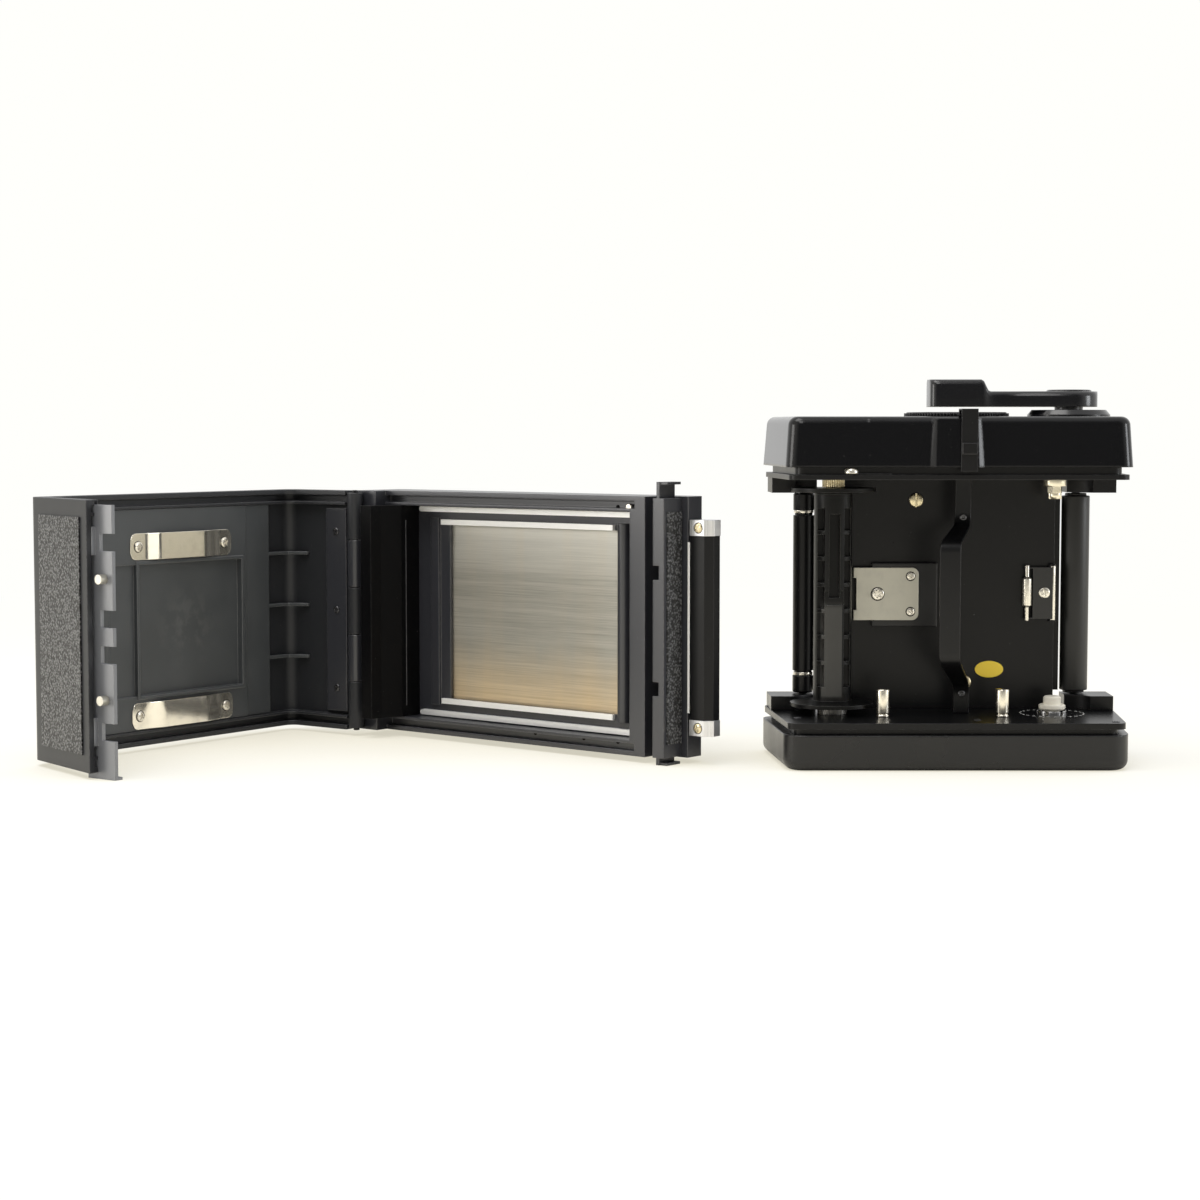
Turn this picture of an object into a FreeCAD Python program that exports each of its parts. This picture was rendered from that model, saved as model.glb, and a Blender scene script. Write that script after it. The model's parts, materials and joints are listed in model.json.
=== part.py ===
import FreeCAD, Part
import math
import os
import re
import sys

import Sketcher
from FreeCAD import Placement, Rotation, Vector

# Roll-film holder, opened and taken apart in two units that stand side by side.
# World frame: +Z up, floor at zero, origin under the middle of the film insert, millimetres.
# The casing is drawn about its hinge axis, with +X towards the latch and +Y towards the lens side.

doc = FreeCAD.newDocument("RollFilmHolder")
sheet = doc.addObject("Spreadsheet::Sheet", "Sizes")
finished = []


def formula(text):
    """Turn the plain size names of a formula into references to the sheet."""
    return re.sub(r"[a-z]\w*(?!\w*\()", lambda found: "Sizes." + found.group(0), str(text))


def bind(item, prop, text):
    """Tie one property of an object to a formula of named sizes."""
    item.setExpression(prop, formula(text))


def box(name, corner, extent):
    """A block from its lowest corner and its three lengths."""
    item = doc.addObject("Part::Box", name)
    for prop, text in zip(("Length", "Width", "Height"), extent):
        bind(item, prop, text)
    for prop, text in zip("xyz", corner):
        bind(item, "Placement.Base." + prop, text)
    return item


TURNS = {
    "X": Rotation(Vector(0, 1, 0), 90),
    "Y": Rotation(Vector(1, 0, 0), -90),
    "Z": Rotation(),
}


def rod(name, foot, radius, length, axis="Z"):
    """A cylinder that starts at foot and runs along one axis."""
    item = doc.addObject("Part::Cylinder", name)
    item.Placement = Placement(Vector(), TURNS[axis])
    bind(item, "Radius", radius)
    bind(item, "Height", length)
    for prop, text in zip("xyz", foot):
        bind(item, "Placement.Base." + prop, text)
    return item


def cone(name, foot, radius_foot, radius_top, length, axis="Z"):
    """A truncated cone that starts at foot and runs along one axis."""
    item = doc.addObject("Part::Cone", name)
    item.Placement = Placement(Vector(), TURNS[axis])
    bind(item, "Radius1", radius_foot)
    bind(item, "Radius2", radius_top)
    bind(item, "Height", length)
    for prop, text in zip("xyz", foot):
        bind(item, "Placement.Base." + prop, text)
    return item


def join(name, shapes):
    """One solid out of several that touch."""
    item = doc.addObject("Part::MultiFuse", name)
    item.Shapes = shapes
    item.Refine = True
    return item


def group(name, shapes):
    """Separate solids kept together in one sub-part."""
    item = doc.addObject("Part::Compound", name)
    item.Links = shapes
    return item


def cut(name, base, tools):
    """The base with the space of every tool removed."""
    item = doc.addObject("Part::Cut", name)
    item.Base = base
    item.Tool = tools[0] if len(tools) == 1 else join(name + "_space", tools)
    item.Refine = True
    return item


def outline(body, role, offset, points):
    """A closed outline of straight lines, every corner tied to named sizes."""
    sketch = body.newObject("Sketcher::SketchObject", "Outline")
    plane = [item for item in body.Origin.OriginFeatures if item.Role == role][0]
    sketch.AttachmentSupport = [(plane, "")]
    sketch.MapMode = "FlatFace"
    bind(sketch, "AttachmentOffset.Base.z", offset)
    count = len(points)
    corners = []
    for index in range(count):
        angle = 2 * math.pi * index / count
        corners.append(Vector(10 * math.cos(angle), 10 * math.sin(angle), 0))
    for index in range(count):
        sketch.addGeometry(Part.LineSegment(corners[index], corners[(index + 1) % count]))
    for index in range(count):
        sketch.addConstraint(Sketcher.Constraint("Coincident", index, 2, (index + 1) % count, 1))
    for index, point in enumerate(points):
        for kind, text in zip(("DistanceX", "DistanceY"), point):
            number = sketch.addConstraint(Sketcher.Constraint(kind, -1, 1, index, 1, 1.0))
            sketch.setExpression("Constraints[%d]" % number, formula(text))
    return sketch


def plate(name, points, offset, height, role="XY_Plane", taper=None):
    """A body padded from an outline; a taper draws the walls in as they rise."""
    body = doc.addObject("PartDesign::Body", name)
    add_pad(body, points, offset, height, role, taper)
    return body


def add_pad(body, points, offset, height, role="XY_Plane", taper=None):
    """Pad one more outline onto a body."""
    pad = body.newObject("PartDesign::Pad", "Pad")
    pad.Profile = outline(body, role, offset, points)
    bind(pad, "Length", height)
    if taper is not None:
        bind(pad, "TaperAngle", "0 - " + taper)
    doc.recompute()
    return pad


def add_pocket(body, points, offset, depth, role="XY_Plane", taper=None):
    """Cut an outline downwards out of a body, from its offset through its depth."""
    before = body.Shape.Volume
    pocket = body.newObject("PartDesign::Pocket", "Pocket")
    pocket.Profile = outline(body, role, offset, points)
    bind(pocket, "Length", depth)
    if taper is not None:
        bind(pocket, "TaperAngle", taper)
    doc.recompute()
    if not body.Shape.Volume < before:
        sys.exit(body.Label + ": a pocket cuts nothing")
    return pocket


def soften(body, radius, test):
    """Round every edge that the test picks."""
    doc.recompute()
    names = []
    for index, edge in enumerate(body.Shape.Edges):
        if test(edge):
            names.append("Edge%d" % (index + 1))
    base = body.Tip
    fillet = body.newObject("PartDesign::Fillet", "Round")
    fillet.Base = (base, names)
    bind(fillet, "Radius", radius)
    doc.recompute()
    return fillet


def turned(name, points):
    """A body of revolution about its own vertical axis, from radius and height pairs."""
    body = doc.addObject("PartDesign::Body", name)
    sketch = outline(body, "XZ_Plane", "0", points)
    turn = body.newObject("PartDesign::Revolution", "Turn")
    turn.Profile = sketch
    turn.ReferenceAxis = (sketch, ["V_Axis"])
    turn.Angle = 360
    doc.recompute()
    return body


def upright(edge):
    """True for an edge that runs mostly upwards."""
    room = edge.BoundBox
    return room.ZLength > 0.5 and room.ZLength > 2 * max(room.XLength, room.YLength)


def level_at(height):
    """A test that picks the edges which lie flat at one height."""
    return lambda edge: edge.BoundBox.ZLength < 0.01 and abs(edge.BoundBox.ZMin - height) < 0.01


def value(name):
    """The present value of one size, for edge picking."""
    return float(sheet.get(name))


UNITS = {
    "insert": ("0", "0", "0"),
    "frame": ("hinge_east", "hinge_north", "frame_turn"),
    "cover": ("hinge_east", "hinge_north", "frame_turn - cover_opening"),
}


def finish(item, unit, at=("0", "0", "0"), spin="0"):
    """Place a finished sub-part in its unit and list it for export."""
    east, north, turn = UNITS[unit]
    bind(item, "Placement.Base.x", "%s + cos(%s) * (%s) - sin(%s) * (%s)" % (east, turn, at[0], turn, at[1]))
    bind(item, "Placement.Base.y", "%s + sin(%s) * (%s) + cos(%s) * (%s)" % (north, turn, at[0], turn, at[1]))
    bind(item, "Placement.Base.z", at[2])
    bind(item, "Placement.Rotation.Angle", "%s + %s" % (turn, spin))
    finished.append(item)


SIZES = {
    # Driving sizes shared by both units
    "running_gap": 0.3,
    "fit_gap": 0.05,
    "sheet_metal": 0.8,

    # Where the casing stands and how far it is open
    "hinge_east": -183.1,
    "hinge_north": 59.2,
    "frame_turn": -39.6,
    "cover_opening": 86.2,
    "casing_lift": 1.85,
    "casing_height": 77.6,
    "casing_wall": 1.8,

    # Front frame of the casing
    "hinge_side": -2.5,
    "hinge_half_gap": 2.9,
    "rim_front": 7.6,
    "film_plane": 15.2,
    "lens_face": 23.6,
    "chamber_start": 6.4,
    "frame_wall_end": 113.6,
    "frame_end": 121.8,
    "end_plate_thick": 1.3,
    "rim_height": 4.6,
    "groove_from_edge": 1.5,
    "groove_width": 2.2,
    "groove_depth": 2.4,
    "gate_start": 27.8,
    "gate_length": 69.5,
    "gate_height": 56,
    "lens_opening_margin": 3,
    "mask_thick": 1.2,

    # Front frame: slide channel and corners
    "slide_thick": 1.0,
    "slide_play": 0.2,
    "slide_height": 62,
    "slide_start": 24.5,
    "frame_corner_radius": 2.5,

    # Hinge between the frame and the cover
    "barrel_radius": 2.5,
    "pin_radius": 1.0,
    "knuckle_end": 0.6,
    "knuckle_gap": 0.3,
    "pin_head_radius": 1.8,
    "pin_proud": 0.6,

    # Film rails beside the gate
    "inner_rail_start": 24.7,
    "inner_rail_length": 71.3,
    "inner_rail_width": 1.7,
    "inner_rail_rise": 1.2,
    "outer_rail_start": 16.4,
    "outer_rail_length": 87.6,
    "outer_rail_width": 1.7,
    "outer_rail_rise": 1.6,
    "outer_rail_offset": 32.1,

    # Lip and film guide beside the gate
    "lip_start": 20.0,
    "lip_width": 3.6,
    "lip_rise": 1.0,
    "guide_radius": 2.05,
    "guide_middle": 99.6,
    "rib_half_height": 30.2,
    "guide_recess_width": 6,
    "guide_recess_depth": 0.6,
    "recess_half_height": 26.6,

    # Wall of the take-up chamber
    "chamber_wall_proud": 3.9,
    "chamber_wall_top": 4.5,
    "chamber_wall_foot": 7.5,

    # Handle of the slide
    "slide_tongue": 4.6,
    "handle_gap": 3.6,
    "handle_length": 7,
    "handle_front": 14.5,
    "handle_depth": 7,
    "handle_half_height": 32,
    "clip_height": 4.7,
    "clip_proud": 0.25,
    "neck_half_height": 25.4,
    "handle_bevel": 2.0,
    "clip_screw_radius": 1.5,
    "clip_screw_head": 0.4,

    # Block with the slot of the slide
    "block_proud": 2.4,
    "block_front": 14.8,
    "block_bevel": 2.2,
    "felt_thick": 0.6,
    "felt_length": 3.2,

    # End plate, latch bar and covering
    "flange_front": 6.2,
    "flange_thick": 0.7,
    "flange_inset": 4.1,
    "notch_depth": 2.2,
    "notch_height": 4.2,
    "pin_level_high": 55.25,
    "pin_level_low": 20.85,
    "latch_inset": 3.4,
    "latch_thick": 1.1,
    "latch_front": 7.0,
    "latch_depth": 7.4,
    "latch_top": 82.0,
    "latch_lip": 2.6,
    "latch_slot_depth": 3.8,
    "hook_lip": 0.8,
    "latch_travel": 2.4,
    "leather_thick": 0.5,
    "end_leather_start": 7.6,
    "end_leather_width": 6.7,
    "end_leather_half_height": 34.4,

    # Plate on the lens side
    "lens_plate_start": 8,
    "lens_plate_length": 104,
    "lens_plate_half_height": 36,
    "lens_plate_thick": 1.6,
    "hook_rail_depth": 1.6,
    "hook_rail_height": 3.2,
    "hook_rail_overhang": 1.6,
    "plate_screw_radius": 1.6,
    "plate_screw_margin": 5,

    # Rear cover of the casing, drawn closed and swung open by its placement
    "cover_depth": 31,
    "cover_back_end": 108.7,
    "cover_end_reach": 120.3,
    "cover_end_front": 5.9,
    "cover_rim_depth": 4.5,
    "cover_corner_radius": 5,
    "cover_groove_depth": 2.4,

    # Liner of the cover
    "liner_thick": 2.2,
    "liner_start": 11.3,
    "liner_end": 99,
    "liner_step": 22.4,
    "liner_step_drop": 0.5,
    "liner_gap": 0.15,
    "recess_start": 24.9,
    "recess_length": 44.7,
    "recess_low": 15.3,
    "recess_height": 40.6,
    "recess_depth": 1.7,
    "trough_length": 11,
    "trough_depth": 1.0,
    "recess_rim": 1.0,
    "recess_rim_rise": 0.5,
    "rib_thick": 1.0,
    "rib_reach": 6.5,
    "rib_spacing": 17,
    "rib_first": 22.3,

    # Leaf springs on the liner
    "spring_start": 29.4,
    "spring_length": 43.6,
    "spring_width": 8.2,
    "spring_thick": 0.4,
    "spring_bow": 1.3,
    "spring_foot": 5.2,
    "spring_high": 61.45,
    "spring_low": 9.2,
    "spring_screw_inset": 3.2,
    "spring_screw_radius": 1.6,
    "spring_screw_head": 0.7,

    # Catch plate and latch pins
    "catch_inset": 3.4,
    "catch_thick": 1.2,
    "catch_front": 12.6,
    "catch_back": 1.6,
    "catch_top": 76.2,
    "catch_notch_depth": 5,
    "catch_foot": 1.6,
    "catch_pin_radius": 1.4,
    "catch_pin_length": 2.4,
    "catch_pin_from_edge": 3.3,
    "notch_one": 12.9,
    "notch_two": 34.9,
    "notch_three": 45.1,
    "notch_four": 66.8,
    "catch_notch_height": 5.0,
    "catch_tab_height": 8,

    # Strip along the hinge wall
    "strip_front": -3.2,
    "strip_width": 8.6,
    "strip_thick": 1.6,
    "strip_margin": 1.2,
    "strip_screw_spacing": 25.5,
    "strip_screw_radius": 1.2,
    "strip_screw_head": 0.5,

    # Coverings and memo frame of the cover
    "end_skin_margin": 4.5,
    "skin_half_height": 33.9,
    "back_skin_start": 8,
    "back_skin_length": 92,
    "memo_start": 22,
    "memo_length": 62,
    "memo_height": 46,
    "memo_wall": 2.4,
    "memo_depth": 2.2,
    "memo_lip": 3,

    # Film insert: two housings, two plates and what stands between them
    "insert_depth": 50,
    "insert_near_width": 100,
    "insert_far_width": 108.4,
    "base_height": 10.5,
    "base_plate_thick": 1.8,
    "plate_inset": 0.9,
    "band_inset": 2.8,
    "top_plate_level": 84.7,
    "top_plate_thick": 1.5,
    "top_housing_level": 88.35,
    "top_housing_height": 14.65,
    "base_plate_level": 12.2,
    "housing_wall": 1.6,
    "spool_axis_side": 34.2,
    "reel_axis_depth": 1.5,
    "supply_axis_side": 32.0,

    # Winding housing
    "draft": 4,
    "housing_corner": 4,
    "housing_top_round": 2.6,
    "boss_width": 12.4,
    "boss_flank": 1.6,
    "boss_proud": 1.2,
    "boss_middle": -1.1,
    "dial_side": 2.3,
    "lever_side": 35.8,
    "shaft_radius": 2.5,
    "dial_stem_radius": 2,

    # Light-trap plates of the insert
    "plate_corner": 3,
    "peg_bore_radius": 4.4,
    "key_radius": 3,
    "supply_stem_radius": 1.2,
    "pivot_radius": 1.2,

    # Lower housing
    "base_corner": 6.2,
    "base_bottom_round": 3,
    "base_floor": 1.6,

    # Carrier, pressure plate and their springs
    "carrier_near": 14.6,
    "carrier_thick": 1.6,
    "carrier_left": -35,
    "carrier_right": 34.6,
    "pressure_gap": 3,
    "pressure_thick": 1.8,
    "pressure_half_width": 37,
    "pressure_half_height": 30,
    "film_middle": 49.2,
    "pressure_travel": 1.2,
    "press_spring_half": 20,
    "stud_side": 30,
    "stud_radius": 1.5,
    "stud_inset": 1.0,
    "carrier_screw_radius": 2.15,
    "carrier_screw_head": 0.9,
    "screw_slot": 0.6,
    "screw_one_side": -7.8,
    "screw_one_level": 77.7,
    "screw_two_side": 7.4,
    "screw_two_level": 22,

    # Strap in front of the carrier
    "strap_tab_left": 2.2,
    "strap_tab_width": 4.8,
    "strap_left": -4.4,
    "strap_width": 6.2,
    "strap_thick": 1.0,
    "strap_deep": 1.0,
    "strap_proud": -15,
    "strap_low_bend": 22.4,
    "strap_low_full": 30.6,
    "strap_high_full": 66.2,
    "strap_high_bend": 71.2,
    "rivet_radius": 1.0,
    "rivet_head": 0.4,
    "rivet_high": 73,
    "rivet_low": 20,

    # Film rollers and their arms
    "roller_side": 41.6,
    "roller_depth": 18.6,
    "roller_radius": 3.2,
    "roller_low": 18.6,
    "roller_high": 79.8,
    "axle_radius": 1.2,
    "axle_length": 1.6,
    "roller_ring": 0.5,
    "ring_from_end": 5.2,
    "ring_width": 1.6,
    "arm_inner": 38,
    "arm_outer": 52,
    "arm_near": 9,
    "arm_far": 22.6,
    "arm_bevel": 3,

    # Take-up spool and its peg
    "spool_low": 16.4,
    "spool_length": 65.4,
    "flange_radius": 12.6,
    "spool_flange_thick": 1.1,
    "core_radius": 5.7,
    "spool_bore_radius": 2.6,
    "spool_bore_depth": 6,
    "spool_slot_width": 3.2,
    "spool_slot_height": 25,
    "spool_slot_depth": 3.0,
    "spool_band_height": 4.2,
    "spool_band_depth": 0.9,
    "spool_bar_width": 5.8,
    "spool_web_pitch": 7.8,
    "spool_web_thick": 1.2,
    "spool_window_depth": 4.6,
    "spool_window_width": 2.0,
    "key_blade_width": 4.4,
    "key_blade_thick": 1.4,
    "key_blade_depth": 2.2,
    "spool_peg_flange": 4.4,
    "peg_flange_gap": 0.2,

    # Gear train
    "gear_module": 1.0,
    "gear_thick": 2.5,
    "gear_level": 90.5,
    "pivot_length": 3.6,
    "addendum": 0.8,
    "dedendum": 1.1,
    "space_half_tip": 1.2,
    "space_half_root": 0.72,
    "lever_low": 105.9,

    # Supply key, peg, seat and guide posts
    "supply_collar": 3.4,
    "supply_neck": 2.2,
    "supply_collar_height": 2.2,
    "supply_neck_height": 2.1,
    "supply_tip_height": 2.0,
    "peg_flange_radius": 4.0,
    "peg_hub_radius": 2.65,
    "peg_flange_low": 1.1,
    "peg_flange_thick": 1.7,
    "peg_hub_height": 2.5,
    "peg_stem_radius": 2.2,
    "peg_stem_length": 4.6,
    "seat_leg_height": 0.9,
    "post_radius": 2.0,
    "post_height": 8.3,
    "post_depth": -7,
    "post_one_side": -19.9,
    "post_two_side": 15.6,

    # Film press and film arm
    "press_left": -26.9,
    "press_width": 19.7,
    "press_low": 41.3,
    "press_height": 16,
    "press_depth": 11.4,
    "press_corner": 2,
    "pad_left": -21.3,
    "pad_width": 19.9,
    "pad_low": 39.3,
    "pad_height": 19.4,
    "press_notch_width": 0.8,
    "press_notch_height": 9.8,
    "press_screw_radius": 1.1,
    "press_stud_radius": 2.0,
    "arm_axis_side": 33.9,
    "arm_axis_depth": 13.2,
    "arm_barrel_radius": 0.9,
    "arm_low": 41.3,
    "arm_height": 16.4,
    "arm_reach": 6.2,
    "arm_level_gap": 0.2,
    "arm_pin_radius": 0.5,
    "arm_roll_radius": 1.5,
    "hinge_lug": 0.6,

    # Winding lever
    "arm_tip_radius": 8.4,
    "lever_arm_height": 4.6,
    "lever_grip_height": 8.1,
    "lever_grip_start": -6.1,
    "lever_grip_length": 15.2,
    "lever_slope": 2.4,
    "lever_grip_half_width": 6,
    "lever_disc_radius": 12.2,
    "lever_collar_radius": 4.2,
    "lever_collar_height": 0.9,

    # Counter dial
    "dial_radius": 15.5,
    "dial_thick": 1.2,

    # Release clip and bracket
    "clip_left": -0.2,
    "clip_width": 4.8,
    "clip_thick": 0.45,
    "clip_low": 87.2,
    "clip_high": 105.2,
    "clip_block_low": 92.2,
    "clip_block_height": 3.1,
    "clip_hook_reach": 4.5,
    "clip_thumb_proud": 0.9,
    "bracket_left": -33,
    "bracket_width": 13.2,
    "bracket_depth": 1.7,
    "bracket_thick": 0.4,
    "bracket_screw_side": -31.4,
    "bracket_screw_radius": 0.95,
    "bracket_screw_head": 1.4,
}

for row, (name, length) in enumerate(SIZES.items(), 1):
    sheet.set("A%d" % row, name)
    sheet.set("B%d" % row, str(length))
    sheet.setAlias("B%d" % row, name)

doc.recompute()


MIDDLE = "(casing_lift + casing_height / 2)"
TOP = "(casing_lift + casing_height)"


def gate_ribs():
    """The upright lip on the hinge side of the gate and the rounded film guide on the other side."""
    lip = box("gate_lip", ("lip_start", "film_plane - lip_rise", MIDDLE + " - rib_half_height"),
              ("lip_width", "lip_rise", "2 * rib_half_height"))
    guide = rod("gate_guide_rod", ("guide_middle", "film_plane", MIDDLE + " - rib_half_height"),
                "guide_radius",
                "2 * rib_half_height")
    behind = box("gate_guide_back", ("guide_middle - 2 * guide_radius", "film_plane", "casing_lift"),
                 ("4 * guide_radius", "2 * guide_radius", "casing_height"))
    half = cut("gate_guide", guide, [behind])
    return [lip, half]


def gate_frame():
    """The front casting: rims, film gate, slide channel, light-trap grooves and hinge barrels."""
    body = plate(
        "gate_frame_block",
        (
            ("hinge_side", "hinge_half_gap"),
            ("chamber_start", "hinge_half_gap"),
            ("chamber_start", "rim_front"),
            ("frame_wall_end", "rim_front"),
            ("frame_wall_end", "lens_face"),
            ("hinge_side", "lens_face"),
        ),
        "casing_lift",
        "casing_height",
    )
    soften(body, "frame_corner_radius",
           lambda edge: upright(edge) and edge.BoundBox.YMin > value("lens_face") - 0.1
           and edge.BoundBox.XMax < 0)
    cavity = box(
        "film_cavity",
        ("chamber_start", "0", "casing_lift + rim_height"),
        ("frame_wall_end - chamber_start - casing_wall - 4", "film_plane", "casing_height - 2 * rim_height"),
    )
    gate = box(
        "gate_opening",
        ("gate_start", "film_plane - 1", MIDDLE + " - gate_height / 2"),
        ("gate_length", "lens_face", "gate_height"),
    )
    lens_window = box(
        "lens_window",
        (
            "gate_start - lens_opening_margin",
            "film_plane + mask_thick + slide_thick + 2 * slide_play + mask_thick",
            MIDDLE + " - gate_height / 2 - lens_opening_margin",
        ),
        ("gate_length + 2 * lens_opening_margin", "lens_face", "gate_height + 2 * lens_opening_margin"),
    )
    channel = box(
        "slide_channel",
        ("slide_start - slide_play", "film_plane + mask_thick", MIDDLE + " - slide_height / 2 - slide_play"),
        ("frame_end", "slide_thick + 2 * slide_play", "slide_height + 2 * slide_play"),
    )
    grooves = []
    for name, level in (
        ("groove_low", "casing_lift + groove_from_edge"),
        ("groove_high", TOP + " - groove_from_edge - groove_width"),
    ):
        grooves.append(box(name, ("chamber_start", "0", level),
                           ("frame_wall_end - chamber_start - 4", "rim_front + groove_depth",
                            "groove_width")))
    shell = cut("gate_frame_shell", body, [cavity, gate, lens_window, channel] + grooves)
    recess = box("guide_recess", ("guide_middle + guide_radius", "film_plane - 1",
                                  MIDDLE + " - recess_half_height"),
                 ("guide_recess_width", "1 + guide_recess_depth", "2 * recess_half_height"))
    solid = join("gate_frame_solid", [shell] + gate_ribs() + knuckles("frame", (1, 3)))
    item = cut("gate_frame", solid, [hinge_bore("frame"), recess])
    finish(item, "frame")


def knuckles(side, numbers):
    """The hinge barrels that belong to one side, each with its leg to the wall."""
    shapes = []
    for number in numbers:
        pitch = "((casing_height - 2 * knuckle_end) / 5)"
        foot = "casing_lift + knuckle_end + (%d) * %s + knuckle_gap / 2" % (number, pitch)
        tall = pitch + " - knuckle_gap"
        shapes.append(rod("%s_barrel" % side, ("0", "0", foot), "barrel_radius", tall))
        start = "0" if side == "frame" else "0 - hinge_half_gap - 0.1"
        shapes.append(box("%s_leg" % side, ("hinge_side", start, foot),
                          ("0 - hinge_side", "hinge_half_gap + 0.1", tall)))
    return shapes


def hinge_bore(side):
    """The hole through all barrels of one side."""
    return rod(side + "_pin_hole", ("0", "0", "0"), "pin_radius + fit_gap", "casing_height * 2")


gate_frame()


def hinge_pin():
    """The pin of the casing hinge, riveted at both ends."""
    pin = rod("hinge_pin_rod", ("0", "0", "0"), "pin_radius", TOP)
    foot = rod("hinge_pin_foot", ("0", "0", "0"), "pin_head_radius", "casing_lift")
    head = rod("hinge_pin_head", ("0", "0", TOP), "pin_head_radius", "pin_proud")
    finish(join("hinge_pin", [pin, foot, head]), "frame")


hinge_pin()


def film_rails():
    """Polished film rails above and below the gate: a short inner pair and a long outer pair."""
    inner = []
    outer = []
    for name, level in (("low", MIDDLE + " - gate_height / 2 - inner_rail_width"),
                        ("high", MIDDLE + " + gate_height / 2")):
        inner.append(box("inner_rail_" + name, ("inner_rail_start", "film_plane - inner_rail_rise", level),
                         ("inner_rail_length", "inner_rail_rise", "inner_rail_width")))
    for name, level in (
        ("low", MIDDLE + " - outer_rail_offset - outer_rail_width"),
        ("high", MIDDLE + " + outer_rail_offset"),
    ):
        bar = box("outer_rail_" + name, ("outer_rail_start", "film_plane - outer_rail_rise", level),
                  ("outer_rail_length", "outer_rail_rise", "outer_rail_width"))
        ends = []
        for end, place in (("left", "outer_rail_start"), ("right", "outer_rail_start + outer_rail_length")):
            ends.append(rod("outer_rail_end_" + end, (place, "film_plane - outer_rail_rise",
                                                      level + " + outer_rail_width / 2"),
                            "outer_rail_width / 2", "outer_rail_rise", "Y"))
        outer.append(join("outer_rail_" + name + "_bar", [bar] + ends))
    finish(group("film_rails", inner + outer), "frame")


film_rails()


def chamber_wall():
    """The tall upright wall that closes the take-up chamber beside the hinge."""
    body = plate(
        "chamber_wall",
        (
            ("chamber_start", "0 - chamber_wall_proud"),
            ("chamber_start + chamber_wall_top", "0 - chamber_wall_proud"),
            ("chamber_start + chamber_wall_top + 0.6", "0"),
            ("chamber_start + chamber_wall_foot", "rim_front - 0.6"),
            ("chamber_start + chamber_wall_foot", "film_plane"),
            ("chamber_start", "film_plane"),
        ),
        "casing_lift + rim_height",
        "casing_height - 2 * rim_height",
    )
    finish(body, "frame")


chamber_wall()


def dark_slide():
    """The steel slide that closes the gate, with its handle, clips and screws."""
    slide_front = "film_plane + mask_thick + slide_play"
    sheet_part = box("slide_sheet", ("slide_start", slide_front, MIDDLE + " - slide_height / 2"),
                     ("frame_end - slide_start", "slide_thick", "slide_height"))
    neck = box("slide_neck", ("frame_end - 1", slide_front, MIDDLE + " - neck_half_height"),
               ("slide_tongue + 1", "slide_thick", "2 * neck_half_height"))
    finish(join("dark_slide", [sheet_part, neck]), "frame")
    bar_half = "(handle_half_height - clip_height)"
    bar = plate(
        "slide_handle_bar",
        (
            ("(frame_end + handle_gap)", "handle_front"),
            ("(frame_end + handle_gap) + handle_length - handle_bevel", "handle_front"),
            ("(frame_end + handle_gap) + handle_length", "handle_front + handle_bevel"),
            ("(frame_end + handle_gap) + handle_length", "handle_front + handle_depth - handle_bevel"),
            ("(frame_end + handle_gap) + handle_length - handle_bevel", "handle_front + handle_depth"),
            ("(frame_end + handle_gap)", "handle_front + handle_depth"),
        ),
        MIDDLE + " - " + bar_half,
        "2 * " + bar_half,
    )
    slot = box("handle_slot", ("(frame_end + handle_gap) - 1", slide_front, MIDDLE + " - neck_half_height"),
               ("slide_tongue - handle_gap + 1", "slide_thick", "2 * neck_half_height"))
    handle = cut("slide_handle", bar, [slot])
    finish(handle, "frame")
    clips = []
    screws = []
    for name, level in (
        ("low", MIDDLE + " - handle_half_height"),
        ("high", MIDDLE + " + handle_half_height - clip_height"),
    ):
        clips.append(plate(
            "handle_clip_" + name,
            (
                ("(frame_end + handle_gap) - clip_proud", "handle_front - clip_proud"),
                ("(frame_end + handle_gap) + handle_length - handle_bevel", "handle_front - clip_proud"),
                ("(frame_end + handle_gap) + handle_length + clip_proud", "handle_front + handle_bevel"),
                ("(frame_end + handle_gap) + handle_length + clip_proud",
                 "handle_front + handle_depth - handle_bevel"),
                ("(frame_end + handle_gap) + handle_length - handle_bevel",
                 "handle_front + handle_depth + clip_proud"),
                ("(frame_end + handle_gap) - clip_proud", "handle_front + handle_depth + clip_proud"),
            ),
            level,
            "clip_height",
        ))
        screws.append(rod("clip_screw_" + name,
                          ("(frame_end + handle_gap) + handle_length * 0.42",
                           "handle_front - clip_proud - clip_screw_head",
                           level + " + clip_height / 2"),
                          "clip_screw_radius", "clip_screw_head", "Y"))
    finish(group("handle_clips", clips), "frame")
    finish(group("handle_screws", screws), "frame")


dark_slide()


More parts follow.
